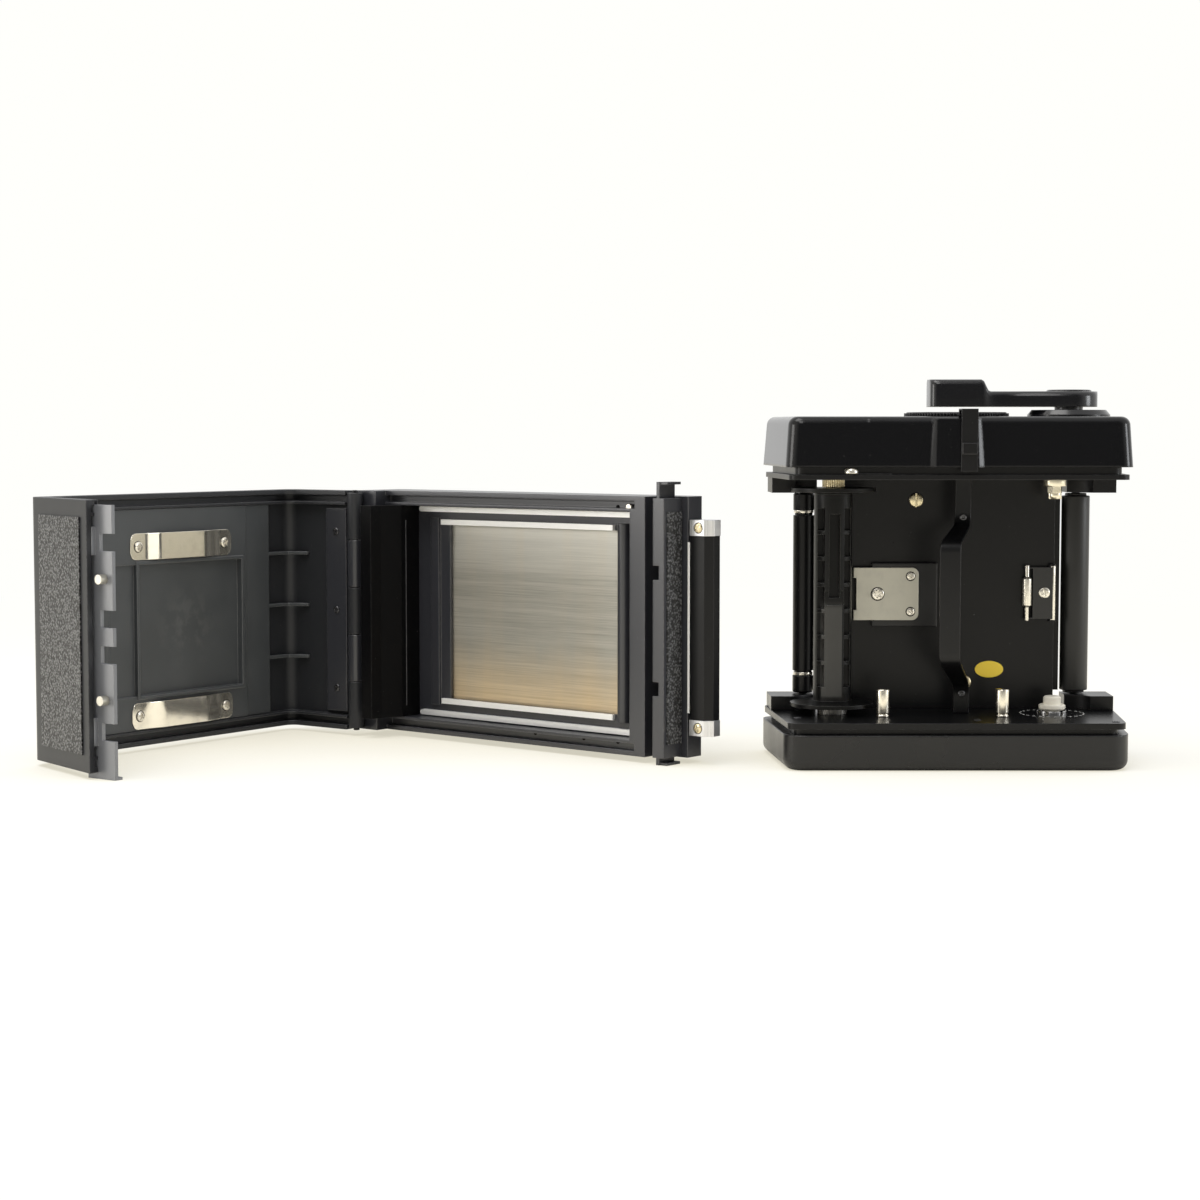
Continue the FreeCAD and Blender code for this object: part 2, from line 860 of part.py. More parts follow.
def slot_block():
    """The block at the end of the frame with the slot for the slide and its light-trap strips."""
    block = plate(
        "slot_block_body",
        (
            ("frame_wall_end", "block_front"),
            ("frame_end + block_proud", "block_front"),
            ("frame_end + block_proud", "lens_face - block_bevel"),
            ("frame_end + block_proud - block_bevel", "lens_face"),
            ("frame_wall_end", "lens_face"),
        ),
        "casing_lift",
        "casing_height",
    )
    slide_front = "film_plane + mask_thick"
    slot = box("slide_slot", ("frame_wall_end - 1", slide_front, MIDDLE + " - slide_height / 2 - slide_play"),
               ("frame_end", "slide_thick + 2 * slide_play", "slide_height + 2 * slide_play"))
    felt_room = box("felt_room",
                    ("frame_end - felt_length", slide_front + " - felt_thick",
                     MIDDLE + " - slide_height / 2 - slide_play"),
                    ("felt_length", "slide_thick + 2 * slide_play + 2 * felt_thick",
                     "slide_height + 2 * slide_play"))
    finish(cut("slide_slot_block", block, [slot, felt_room]), "frame")
    strips = []
    for name, front in (
        ("near", slide_front + " - felt_thick"),
        ("far", slide_front + " + slide_thick + 2 * slide_play"),
    ):
        strips.append(box("felt_" + name, ("frame_end - felt_length", front,
                                           MIDDLE + " - slide_height / 2 - slide_play"),
                          ("felt_length", "felt_thick", "slide_height + 2 * slide_play")))
    finish(group("light_trap_strips", strips), "frame")


slot_block()


def latch_end():
    """The end plate with its notched flange, the sliding latch bar and the covering strip."""
    flange = box("end_flange", ("(frame_end - flange_inset)", "flange_front", "casing_lift + 0.4"),
                 ("frame_end - (frame_end - flange_inset)", "flange_thick", "casing_height - 0.8"))
    wall = box("end_wall", ("frame_end - end_plate_thick", "flange_front", "casing_lift + 0.4"),
               ("end_plate_thick", "block_front - flange_front", "casing_height - 0.8"))
    notches = []
    for name, level in (("low", "pin_level_low"), ("high", "pin_level_high")):
        notches.append(box("flange_notch_" + name,
                           ("(frame_end - flange_inset) - 1", "flange_front - 1",
                            "casing_lift + %s - notch_height / 2" % level),
                           ("notch_depth + 1", "flange_thick + 2", "notch_height")))
    finish(cut("latch_end_plate", join("end_plate_blank", [flange, wall]), notches), "frame")

    bar = box("latch_bar_web", ("(frame_end - latch_inset)", "latch_front", "0"),
              ("latch_thick", "latch_depth", "casing_lift + latch_top"))
    lips = []
    for name, level in (("low", "0"), ("high", "casing_lift + latch_top - sheet_metal")):
        lips.append(box("latch_lip_" + name, ("(frame_end - latch_inset)", "latch_front + 0.5", level),
                        ("latch_thick + latch_lip", "latch_depth - 1", "sheet_metal")))
    slots = []
    for name, level in (("low", "pin_level_low"), ("high", "pin_level_high")):
        slots.append(box("latch_mouth_" + name,
                         ("(frame_end - latch_inset) - 1", "latch_front - 1",
                          "casing_lift + %s - notch_height / 2" % level),
                         ("latch_thick + 2", "latch_slot_depth + 1", "notch_height")))
        slots.append(box("latch_hook_" + name,
                         ("(frame_end - latch_inset) - 1", "latch_front + hook_lip",
                          "casing_lift + %s - notch_height / 2" % level),
                         ("latch_thick + 2", "latch_slot_depth - hook_lip", "notch_height + latch_travel")))
    finish(cut("latch_bar", join("latch_bar_blank", [bar] + lips), slots), "frame")

    finish(box("frame_leatherette", ("0", "0", "0"), ("leather_thick", "end_leather_width",
                                                      "2 * end_leather_half_height")),
           "frame", ("frame_end", "end_leather_start", MIDDLE + " - end_leather_half_height"))


latch_end()


def lens_side():
    """The plate on the lens side that locks to the camera, with its two hook rails and screws."""
    ring = box("lens_plate_sheet", ("lens_plate_start", "lens_face", MIDDLE + " - lens_plate_half_height"),
               ("lens_plate_length", "lens_plate_thick", "2 * lens_plate_half_height"))
    window = box("lens_plate_window",
                 ("gate_start - lens_opening_margin", "lens_face - 1",
                  MIDDLE + " - gate_height / 2 - lens_opening_margin"),
                 ("gate_length + 2 * lens_opening_margin", "lens_plate_thick + 2",
                  "gate_height + 2 * lens_opening_margin"))
    rails = []
    for name, level, lip in (
        ("low", MIDDLE + " - lens_plate_half_height",
         MIDDLE + " - lens_plate_half_height - hook_rail_overhang"),
        ("high", MIDDLE + " + lens_plate_half_height - hook_rail_height",
         MIDDLE + " + lens_plate_half_height - hook_rail_height"),
    ):
        rails.append(box("hook_rail_" + name, ("lens_plate_start + 12", "lens_face + lens_plate_thick",
                                               level),
                         ("lens_plate_length - 24", "hook_rail_depth", "hook_rail_height")))
        rails.append(box("hook_lip_" + name,
                         ("lens_plate_start + 12", "lens_face + lens_plate_thick + hook_rail_depth", lip),
                         ("lens_plate_length - 24", "hook_rail_depth * 0.6",
                          "hook_rail_height + hook_rail_overhang")))
    item = join("lens_plate", [cut("lens_plate_ring", ring, [window])] + rails)
    finish(item, "frame")
    screws = []
    for along in ("lens_plate_start + plate_screw_margin",
                  "lens_plate_start + lens_plate_length - plate_screw_margin"):
        for level in (MIDDLE + " - lens_plate_half_height / 2", MIDDLE + " + lens_plate_half_height / 2"):
            screws.append(rod("lens_plate_screw", (along, "lens_face + lens_plate_thick", level),
                              "plate_screw_radius", "clip_screw_head", "Y"))
    finish(group("lens_plate_screws", screws), "frame")


lens_side()


LEAN = "((cover_end_reach - cover_back_end) / (cover_end_front + cover_depth))"


def cover_outline(inset, front="cover_end_front", hinge_front="0 - hinge_half_gap"):
    """The plan of the cover: hinge wall, back panel and leaning end wall, drawn in by an inset."""
    slant = "%s * sqrt(1 + %s * %s)" % (inset, LEAN, LEAN)
    return (
        ("hinge_side + " + inset, hinge_front),
        ("hinge_side + " + inset, "%s - cover_depth" % inset),
        ("cover_back_end + %s * %s - %s" % (LEAN, inset, slant), "%s - cover_depth" % inset),
        ("cover_end_reach - %s + %s * (%s - cover_end_front)" % (slant, LEAN, front), front),
    )


def inside_end(front):
    """The inner face of the leaning end wall at one distance along it."""
    slant = "sqrt(1 + %s * %s)" % (LEAN, LEAN)
    return "(cover_end_reach - casing_wall * %s + %s * (%s - cover_end_front))" % (slant, LEAN, front)


def cover_shell():
    """The rear cover: three walls in one casting with grooved rims at top and bottom."""
    shell = plate("cover_block", cover_outline("0"), "casing_lift", "casing_height")
    back = value("cover_rim_depth") - value("cover_depth") + 0.1
    soften(shell, "cover_corner_radius", lambda edge: upright(edge) and edge.BoundBox.YMax < back)
    tools = []
    for name, inset, level, tall in (
        ("rim", "cover_rim_depth", "casing_lift - 1", "casing_height + 2"),
        ("inside", "casing_wall", "casing_lift + rim_height", "casing_height - 2 * rim_height"),
        ("groove_low", "(cover_rim_depth - cover_groove_depth)", "casing_lift + groove_from_edge",
         "groove_width"),
        ("groove_high", "(cover_rim_depth - cover_groove_depth)",
         TOP + " - groove_from_edge - groove_width", "groove_width"),
    ):
        tool = plate("cover_%s_space" % name, cover_outline(inset, "cover_end_front + 9", "9"), level, tall)
        limit = value("cover_rim_depth") + 0.1
        soften(tool, "cover_corner_radius - casing_wall", lambda edge: upright(edge)
               and edge.BoundBox.YMax < limit - value("cover_depth"))
        tools.append(tool)
    tools.append(box("catch_seat", ("(cover_end_reach - catch_inset) - catch_thick", "catch_back", "0"),
                     ("catch_thick", "cover_end_front", "casing_height * 2")))
    walls = cut("cover_walls", shell, tools)
    item = cut("cover_shell", join("cover_solid", [walls] + knuckles("cover", (0, 2, 4))),
               [hinge_bore("cover")])
    finish(item, "cover")


cover_shell()


def cover_liner():
    """The moulded liner of the cover: stepped panel with a square recess and a ribbed roll chamber."""
    back = "(casing_wall - cover_depth)"
    low = "casing_lift + rim_height + liner_gap"
    tall = "casing_height - 2 * rim_height - 2 * liner_gap"
    panel = box("liner_panel", ("liner_step", back, low), ("liner_end - liner_step", "liner_thick", tall))
    band = box("liner_band", ("liner_start", back, low),
               ("liner_step - liner_start", "liner_thick - liner_step_drop", tall))
    frame_rim = box("recess_frame",
                    ("recess_start - recess_rim", back + " + liner_thick",
                     "casing_lift + recess_low - recess_rim"),
                    ("recess_length + 2 * recess_rim", "recess_rim_rise", "recess_height + 2 * recess_rim"))
    recess = box("recess_space", ("recess_start", back + " + liner_thick - recess_depth",
                                  "casing_lift + recess_low"),
                 ("recess_length", "recess_depth + recess_rim_rise + 1", "recess_height"))
    trough = box("trough_space",
                 ("recess_start + recess_length + recess_rim", back + " + liner_thick - trough_depth",
                  "casing_lift + recess_low"),
                 ("trough_length", "trough_depth + 1", "recess_height"))
    rib_shapes = []
    for number in range(3):
        level = "casing_lift + rib_first + (%d) * rib_spacing" % number
        web = plate(
            "chamber_rib_web",
            (
                ("liner_start", back),
                ("liner_start", back + " + liner_thick - liner_step_drop"),
                ("hinge_side + casing_wall + rib_reach / 2", back + " + liner_thick"),
                ("hinge_side + casing_wall + rib_thick", back + " + rib_reach + 2"),
                ("hinge_side + casing_wall + liner_gap", back + " + rib_reach + 2"),
                ("hinge_side + casing_wall + liner_gap", back + " + cover_corner_radius"),
                ("hinge_side + casing_wall + cover_corner_radius", back),
            ),
            level,
            "rib_thick",
        )
        rib_shapes.append(web)
    item = cut("cover_liner", join("liner_blank", [panel, band, frame_rim] + rib_shapes), [recess, trough])
    finish(item, "cover")


cover_liner()


def leaf_springs():
    """The two polished leaf springs on the liner and their four screws."""
    face = "(casing_wall - cover_depth + liner_thick)"
    springs = []
    screws = []
    for name, level in (("low", "spring_low"), ("high", "spring_high")):
        foot = "casing_lift + %s - spring_width / 2" % level
        springs.append(plate(
            "leaf_spring_" + name,
            (
                ("spring_start", face),
                ("spring_start + spring_foot", face),
                ("spring_start + spring_length * 0.3", face + " + spring_bow"),
                ("spring_start + spring_length * 0.7", face + " + spring_bow"),
                ("spring_start + spring_length - spring_foot", face),
                ("spring_start + spring_length", face),
                ("spring_start + spring_length", face + " + spring_thick"),
                ("spring_start + spring_length - spring_foot", face + " + spring_thick"),
                ("spring_start + spring_length * 0.7", face + " + spring_bow + spring_thick"),
                ("spring_start + spring_length * 0.3", face + " + spring_bow + spring_thick"),
                ("spring_start + spring_foot", face + " + spring_thick"),
                ("spring_start", face + " + spring_thick"),
            ),
            foot,
            "spring_width",
        ))
        for along in ("spring_start + spring_screw_inset",
                      "spring_start + spring_length - spring_screw_inset"):
            screws.append(rod("leaf_spring_screw", (along, face + " + spring_thick",
                                                    "casing_lift + " + level),
                              "spring_screw_radius", "spring_screw_head", "Y"))
    finish(group("leaf_springs", springs), "cover")
    finish(group("leaf_spring_screws", screws), "cover")


leaf_springs()


def catch():
    """The notched catch plate inside the end wall, with its spacer and the two latch pins."""
    blade = box("catch_blade", ("(cover_end_reach - catch_inset) - catch_thick", "catch_back", "0"),
                ("catch_thick", "catch_front - catch_back", "casing_lift + catch_top"))
    foot = box("catch_foot_fold",
               ("(cover_end_reach - catch_inset) - catch_thick - catch_foot", "catch_front - 4", "0"),
               ("catch_thick + catch_foot", "4", "sheet_metal"))
    notches = []
    for number in ("one", "two", "three", "four"):
        notches.append(box("catch_notch_" + number,
                           ("(cover_end_reach - catch_inset) - 5", "catch_front - catch_notch_depth",
                            "casing_lift + notch_%s - catch_notch_height / 2 - 1.2" % number),
                           ("8", "catch_notch_depth + 1", "catch_notch_height")))
    tab_shapes = []
    for name, level in (("low", "casing_lift + rim_height + 3"),
                        ("high", TOP + " - rim_height - 3 - catch_tab_height")):
        tab_shapes.append(plate(
            "catch_tab_" + name,
            (
                ("(cover_end_reach - catch_inset)", "catch_back"),
                (inside_end("catch_back"), "catch_back"),
                (inside_end("cover_end_front"), "cover_end_front"),
                ("(cover_end_reach - catch_inset)", "cover_end_front"),
            ),
            level,
            "catch_tab_height",
        ))
    item = cut("catch_plate", join("catch_blank", [blade, foot] + tab_shapes), notches)
    finish(item, "cover")
    pins = []
    for name, level in (("low", "pin_level_low"), ("high", "pin_level_high")):
        at = ("(cover_end_reach - catch_inset)", "catch_front - catch_pin_from_edge", "casing_lift + " + level)
        pins.append(rod("catch_pin_" + name, at, "catch_pin_radius", "catch_pin_length", "X"))
    finish(group("catch_pins", pins), "cover")


catch()


def hinge_strip():
    """The screwed strip along the hinge wall inside the cover."""
    wall = "(hinge_side + casing_wall)"
    strip = box("hinge_strip", ("0", "0", "0"),
                ("strip_thick", "strip_width", "casing_height - 2 * rim_height - 2 * strip_margin"))
    finish(strip, "cover", (wall, "strip_front - strip_width", "casing_lift + rim_height + strip_margin"))
    screws = []
    for number in (-1, 0, 1):
        screws.append(rod("hinge_strip_screw",
                          (wall + " + strip_thick", "strip_front - strip_width / 2",
                           MIDDLE + " + (%d) * strip_screw_spacing" % number),
                          "strip_screw_radius", "strip_screw_head", "X"))
    finish(group("hinge_strip_screws", screws), "cover")


hinge_strip()


def cover_skins():
    """Leatherette on the end wall and the back panel, and the memo frame on the back."""
    slant = "sqrt(1 + %s * %s)" % (LEAN, LEAN)

    def on_wall(front, out):
        return ("cover_end_reach + %s * %s + %s * (%s - cover_end_front)" % (out, slant, LEAN, front), front)

    near = "(cover_end_front - end_skin_margin * 0.9)"
    far = "(end_skin_margin * 1.5 - cover_depth)"
    end_skin = plate("cover_leatherette", (on_wall(near, "0"), on_wall(near, "leather_thick"),
                                           on_wall(far, "leather_thick"), on_wall(far, "0")),
                     MIDDLE + " - skin_half_height", "2 * skin_half_height")
    finish(end_skin, "cover")
    skin = box("back_leatherette_sheet", ("back_skin_start", "0 - cover_depth - leather_thick",
                                          MIDDLE + " - skin_half_height"),
               ("back_skin_length", "leather_thick", "2 * skin_half_height"))
    window = box("back_leatherette_window",
                 ("memo_start", "0 - cover_depth - leather_thick - 1", MIDDLE + " - memo_height / 2"),
                 ("memo_length", "leather_thick + 2", "memo_height"))
    finish(cut("back_leatherette", skin, [window]), "cover")
    block = box("memo_block", ("memo_start", "0 - cover_depth - memo_depth", MIDDLE + " - memo_height / 2"),
                ("memo_length", "memo_depth", "memo_height"))
    pocket = box("memo_pocket",
                 ("memo_start + memo_wall", "sheet_metal - cover_depth - memo_depth",
                  MIDDLE + " - memo_height / 2 + memo_wall"),
                 ("memo_length", "memo_depth - 2 * sheet_metal", "memo_height - 2 * memo_wall"))
    view = box("memo_view",
               ("memo_start + memo_wall + memo_lip", "0 - cover_depth - memo_depth - 1",
                MIDDLE + " - memo_height / 2 + memo_wall + memo_lip"),
               ("memo_length", "memo_depth + 1 - sheet_metal", "memo_height - 2 * memo_wall - 2 * memo_lip"))
    finish(cut("memo_holder", block, [pocket, view]), "cover")


cover_skins()


BASE_TOP = "(base_plate_level + base_plate_thick)"
HOUSING_TOP = "(top_housing_level + top_housing_height)"


def insert_outline(inset):
    """The plan of the insert: a little wider on the lens side than at the back."""
    near = "insert_near_width / 2 - %s" % inset
    far = "insert_far_width / 2 - %s" % inset
    deep = "insert_depth / 2 - %s" % inset
    return (
        ("0 - (%s)" % near, "0 - (%s)" % deep),
        (near, "0 - (%s)" % deep),
        (far, deep),
        ("0 - (%s)" % far, deep),
    )


def top_housing():
    """The drafted winding housing: a hollow moulding with rounded corners and a raised middle."""
    body = plate("housing_block", insert_outline("0"), "top_housing_level", "top_housing_height",
                 taper="draft")
    soften(body, "housing_corner", upright)
    soften(body, "housing_top_round", level_at(value("top_housing_level") + value("top_housing_height")))
    add_pad(body, (
        ("boss_middle - boss_width / 2", "0 - insert_depth / 2 - boss_proud"),
        ("boss_middle + boss_width / 2", "0 - insert_depth / 2 - boss_proud"),
        ("boss_middle + boss_width / 2 + boss_flank", "0 - insert_depth / 2"),
        ("boss_middle + boss_width / 2 + boss_flank", "0 - insert_depth / 2 + 4"),
        ("boss_middle - boss_width / 2 - boss_flank", "0 - insert_depth / 2 + 4"),
        ("boss_middle - boss_width / 2 - boss_flank", "0 - insert_depth / 2"),
    ), "top_housing_level", "top_housing_height - 0.6", taper="draft")
    hollow = plate("housing_hollow", insert_outline("housing_wall"), "top_housing_level - 0.001",
                   "top_housing_height - housing_wall", taper="draft")
    bores = []
    for side, radius in (("lever_side", "shaft_radius"), ("dial_side", "dial_stem_radius")):
        bores.append(rod("housing_bore", (side, "reel_axis_depth", "top_housing_level"),
                         radius + " + fit_gap",
                         "top_housing_height + 1"))
    item = cut("top_housing", body, [hollow] + bores)
    finish(item, "insert")


top_housing()


END_TEETH = 26
IDLER_TEETH = (14, 16, 14)


def idler_side(number):
    """Distance of one idler from the middle of the insert, counted from the take-up spool."""
    teeth = END_TEETH / 2 + sum(IDLER_TEETH[:number - 1]) + IDLER_TEETH[number - 1] / 2
    return "(%g * gear_module - spool_axis_side)" % teeth


def plates():
    """The two light-trap plates with their recessed bands, and the base housing."""
    for name, level, thick, band_level, band_height in (
        ("top_plate", "top_plate_level", "top_plate_thick", "top_plate_level + top_plate_thick",
         "top_housing_level - top_plate_level - top_plate_thick"),
        ("base_plate", "base_plate_level", "base_plate_thick", "base_height",
         "base_plate_level - base_height"),
    ):
        sheet_body = plate(name + "_sheet", insert_outline("plate_inset"), level, thick)
        soften(sheet_body, "plate_corner", upright)
        band = plate(name + "_band", insert_outline("band_inset"), band_level, band_height)
        soften(band, "plate_corner", upright)
        blank = join(name + "_blank", [sheet_body, band])
        if name == "top_plate":
            bores = [
                rod("spool_key_bore", ("0 - spool_axis_side", "reel_axis_depth", level + " - 1"),
                    "key_radius + fit_gap",
                    "top_housing_level"),
                rod("supply_key_bore", ("supply_axis_side", "reel_axis_depth", level + " - 1"),
                    "supply_stem_radius + fit_gap",
                    "top_housing_level"),
                rod("lever_pivot_bore", ("lever_side", "reel_axis_depth", level + " + 0.5"),
                    "pivot_radius + fit_gap",
                    "top_housing_level"),
            ]
            for number in range(1, 4):
                bores.append(rod("idler_bore", (idler_side(number), "reel_axis_depth", level + " + 0.5"),
                                 "pivot_radius + fit_gap", "top_housing_level"))
        else:
            bores = [rod("supply_peg_bore", ("supply_axis_side", "reel_axis_depth", "0"),
                         "peg_bore_radius", "base_plate_level * 2")]
        item = cut(name, blank, bores)
        finish(item, "insert")


plates()


def base_housing():
    """The lower housing: a rounded tray closed by the base plate."""
    body = plate("base_housing", insert_outline("0"), "0", "base_height")
    soften(body, "base_corner", upright)
    soften(body, "base_bottom_round", level_at(0))
    add_pocket(body, insert_outline("2 * housing_wall"), "base_height",
               "base_height - base_floor - housing_wall")
    finish(body, "insert")


base_housing()


def carrier():
    """The upright carrier between the film chambers, the pressure plate on its lens side and its springs."""
    wall = box("carrier_sheet", ("carrier_left", "carrier_near", BASE_TOP),
               ("carrier_right - carrier_left", "carrier_thick",
                "top_plate_level - base_plate_level - base_plate_thick"))
    holes = []
    for side in ("stud_side", "0 - stud_side"):
        holes.append(rod("stud_hole", (side, "carrier_near - 1", "film_middle"), "stud_radius + 2 * fit_gap",
                         "carrier_thick + 2", "Y"))
    finish(cut("carrier_plate", wall, holes), "insert")
    face = "carrier_near + carrier_thick"
    panel = box("pressure_panel", ("0 - pressure_half_width", face + " + pressure_gap",
                                   "film_middle - pressure_half_height"),
                ("2 * pressure_half_width", "pressure_thick", "2 * pressure_half_height"))
    studs = []
    for side in ("stud_side", "0 - stud_side"):
        studs.append(rod("pressure_stud", (side, "carrier_near + stud_inset", "film_middle"), "stud_radius",
                         "carrier_thick + pressure_gap - stud_inset", "Y"))
    finish(join("pressure_plate", [panel] + studs), "insert")
    springs = []
    reach = "(pressure_gap - pressure_travel - running_gap)"
    for level in (-1, 1):
        springs.append(plate(
            "pressure_spring",
            (
                ("0 - press_spring_half", face + " + pressure_gap - %s" % reach),
                ("0 - press_spring_half / 4", face + " + pressure_gap - spring_thick"),
                ("press_spring_half / 4", face + " + pressure_gap - spring_thick"),
                ("press_spring_half", face + " + pressure_gap - %s" % reach),
                ("press_spring_half", face + " + pressure_gap - %s + spring_thick" % reach),
                ("press_spring_half / 4", face + " + pressure_gap"),
                ("0 - press_spring_half / 4", face + " + pressure_gap"),
                ("0 - press_spring_half", face + " + pressure_gap - %s + spring_thick" % reach),
            ),
            "film_middle + (%d) * pressure_half_height * 0.6 - spring_width / 2" % level,
            "spring_width",
        ))
    finish(group("pressure_springs", springs), "insert")
    heads = []
    for number in ("one", "two"):
        head = rod("carrier_screw_head_" + number,
                   ("screw_%s_side" % number, "carrier_near - carrier_screw_head", "screw_%s_level" % number),
                   "carrier_screw_radius", "carrier_screw_head", "Y")
        slot = box("carrier_screw_slot_" + number,
                   ("screw_%s_side - screw_slot / 2" % number, "carrier_near - carrier_screw_head - 1",
                    "screw_%s_level - 3" % number),
                   ("screw_slot", "1 + carrier_screw_head / 2", "6"))
        heads.append(cut("carrier_screw_" + number, head, [slot]))
    finish(group("carrier_screws", heads), "insert")


carrier()


def grip_strap():
    """The folded metal strap that runs from plate to plate in front of the carrier."""
    body = doc.addObject("PartDesign::Body", "strap_band")
    sections = []
    for level, left, width, front in (
        (BASE_TOP, "strap_tab_left", "strap_tab_width", "strap_deep"),
        ("strap_low_bend", "strap_tab_left", "strap_tab_width", "strap_deep"),
        ("strap_low_full", "strap_left", "strap_width", "strap_proud"),
        ("strap_high_full", "strap_left", "strap_width", "strap_proud"),
        ("strap_high_bend", "strap_tab_left", "strap_tab_width", "strap_deep"),
        ("top_plate_level", "strap_tab_left", "strap_tab_width", "strap_deep"),
    ):
        sections.append(outline(body, "XY_Plane", level, (
            (left, front),
            (left + " + " + width, front),
            (left + " + " + width, front + " + strap_thick"),
            (left, front + " + strap_thick"),
        )))
    loft = body.newObject("PartDesign::AdditiveLoft", "Band")
    loft.Profile = sections[0]
    loft.Sections = sections[1:]
    loft.Ruled = True
    doc.recompute()
    rivets = []
    for name in ("rivet_low", "rivet_high"):
        rivets.append(rod("strap_" + name, ("strap_tab_left + strap_tab_width / 2",
                                            "strap_deep - rivet_head", name),
                          "rivet_radius", "rivet_head + strap_thick / 2", "Y"))
    finish(join("grip_strap", [body] + rivets), "insert")


grip_strap()


def rollers():
    """Two film rollers with their axles, carried by four corner arms."""
    tall = "(roller_high - roller_low)"
    for name, side in (("left_roller", "0 - roller_side"), ("right_roller", "roller_side")):
        points = [
            ("0", "0 - axle_length"),
            ("axle_radius", "0 - axle_length"),
            ("axle_radius", "0"),
            ("roller_radius - 0.4", "0"),
            ("roller_radius", "0.4"),
        ]
        if name == "left_roller":
            for level in ("ring_from_end", tall + " - ring_from_end - ring_width"):
                points += [
                    ("roller_radius", level),
                    ("roller_radius - roller_ring", level),
                    ("roller_radius - roller_ring", level + " + ring_width"),
                    ("roller_radius", level + " + ring_width"),
                ]
        points += [
            ("roller_radius", tall + " - 0.4"),
            ("roller_radius - 0.4", tall),
            ("axle_radius", tall),
            ("axle_radius", tall + " + axle_length"),
            ("0", tall + " + axle_length"),
        ]
        finish(turned(name, points), "insert", (side, "roller_depth", "roller_low"))
    for name, level, thick in (
        ("lower_arms", BASE_TOP, "roller_low - base_plate_level - base_plate_thick - running_gap"),
        ("upper_arms", "roller_high + running_gap", "top_plate_level - roller_high - running_gap"),
    ):
        arms = []
        for side in ("0 - ", ""):
            block = plate(
                name + "_block",
                (
                    (side + "arm_inner", "arm_near + arm_bevel"),
                    (side + "(arm_inner + arm_bevel)", "arm_near"),
                    (side + "arm_outer", "arm_near"),
                    (side + "(arm_outer + 0.4)", "arm_far"),
                    (side + "arm_inner", "arm_far"),
                ),
                level,
                thick,
            )
            hole = rod(name + "_hole", (side + "roller_side", "roller_depth",
                                        "roller_low - axle_length - 0.2"),
                       "axle_radius + fit_gap", "roller_high - roller_low + 2 * axle_length + 0.4")
            reel_room = rod(name + "_reel_room", (side + "spool_axis_side", "reel_axis_depth", level),
                            "flange_radius + 2 * running_gap", thick)
            arms.append(cut(name + "_arm", block, [hole, reel_room]))
        finish(group(name, arms), "insert")


rollers()


def take_up():
    """The take-up spool on its driven key above and its peg below."""
    length = "spool_length"
    spool = turned("spool_turning", (
        ("0", "spool_bore_depth"),
        ("spool_bore_radius", "spool_bore_depth"),
        ("spool_bore_radius", "0"),
        ("flange_radius", "0"),
        ("flange_radius", "spool_flange_thick"),
        ("core_radius", "spool_flange_thick + 0.6"),
        ("core_radius", length + " - spool_flange_thick - 0.6"),
        ("flange_radius", length + " - spool_flange_thick"),
        ("flange_radius", length),
        ("spool_bore_radius", length),
        ("spool_bore_radius", length + " - spool_bore_depth"),
        ("0", length + " - spool_bore_depth"),
    ))
    front = "0 - core_radius - 1"
    band = "spool_length / 2 - spool_band_height / 2"
    spaces = [
        box("spool_paper_slot", ("0 - spool_slot_width / 2", front, "spool_length / 2"),
            ("spool_slot_width", "spool_slot_depth + 1", "spool_slot_height")),
        box("spool_band", ("0 - spool_bar_width / 2 - 0.01", front, band),
            ("spool_bar_width + 0.02", "spool_band_depth + 1", "spool_band_height")),
    ]
    for number in range(-3, 4):
        level = "spool_length / 2 + (%d) * spool_web_pitch - (spool_web_pitch - spool_web_thick) / 2" % number
        for near in (front, "core_radius - spool_window_depth"):
            for side in ("0 - spool_bar_width / 2 - spool_window_width", "spool_bar_width / 2"):
                spaces.append(box("spool_window", (side, near, level),
                                  ("spool_window_width", "spool_window_depth + 1",
                                   "spool_web_pitch - spool_web_thick")))
    spaces.append(box("spool_key_slot",
                      ("0 - key_blade_width / 2 - fit_gap", "0 - key_blade_thick / 2 - fit_gap",
                       "spool_length - key_blade_depth - 0.2"),
                      ("key_blade_width + 2 * fit_gap", "key_blade_thick + 2 * fit_gap",
                       "key_blade_depth + 1")))
    finish(cut("take_up_spool", spool, spaces), "insert", ("0 - spool_axis_side", "reel_axis_depth",
                                                           "spool_low"))
    peg = turned("take_up_peg", (
        ("0", "0"),
        ("spool_peg_flange", "0"),
        ("spool_peg_flange", "spool_low - base_plate_level - base_plate_thick - peg_flange_gap"),
        ("spool_bore_radius - 0.1", "spool_low - base_plate_level - base_plate_thick - peg_flange_gap"),
        ("spool_bore_radius - 0.1", "spool_low - base_plate_level - base_plate_thick + 3"),
        ("spool_bore_radius - 1", "spool_low - base_plate_level - base_plate_thick + 4"),
        ("0", "spool_low - base_plate_level - base_plate_thick + 4"),
    ))
    finish(peg, "insert", ("0 - spool_axis_side", "reel_axis_depth", BASE_TOP))


take_up()


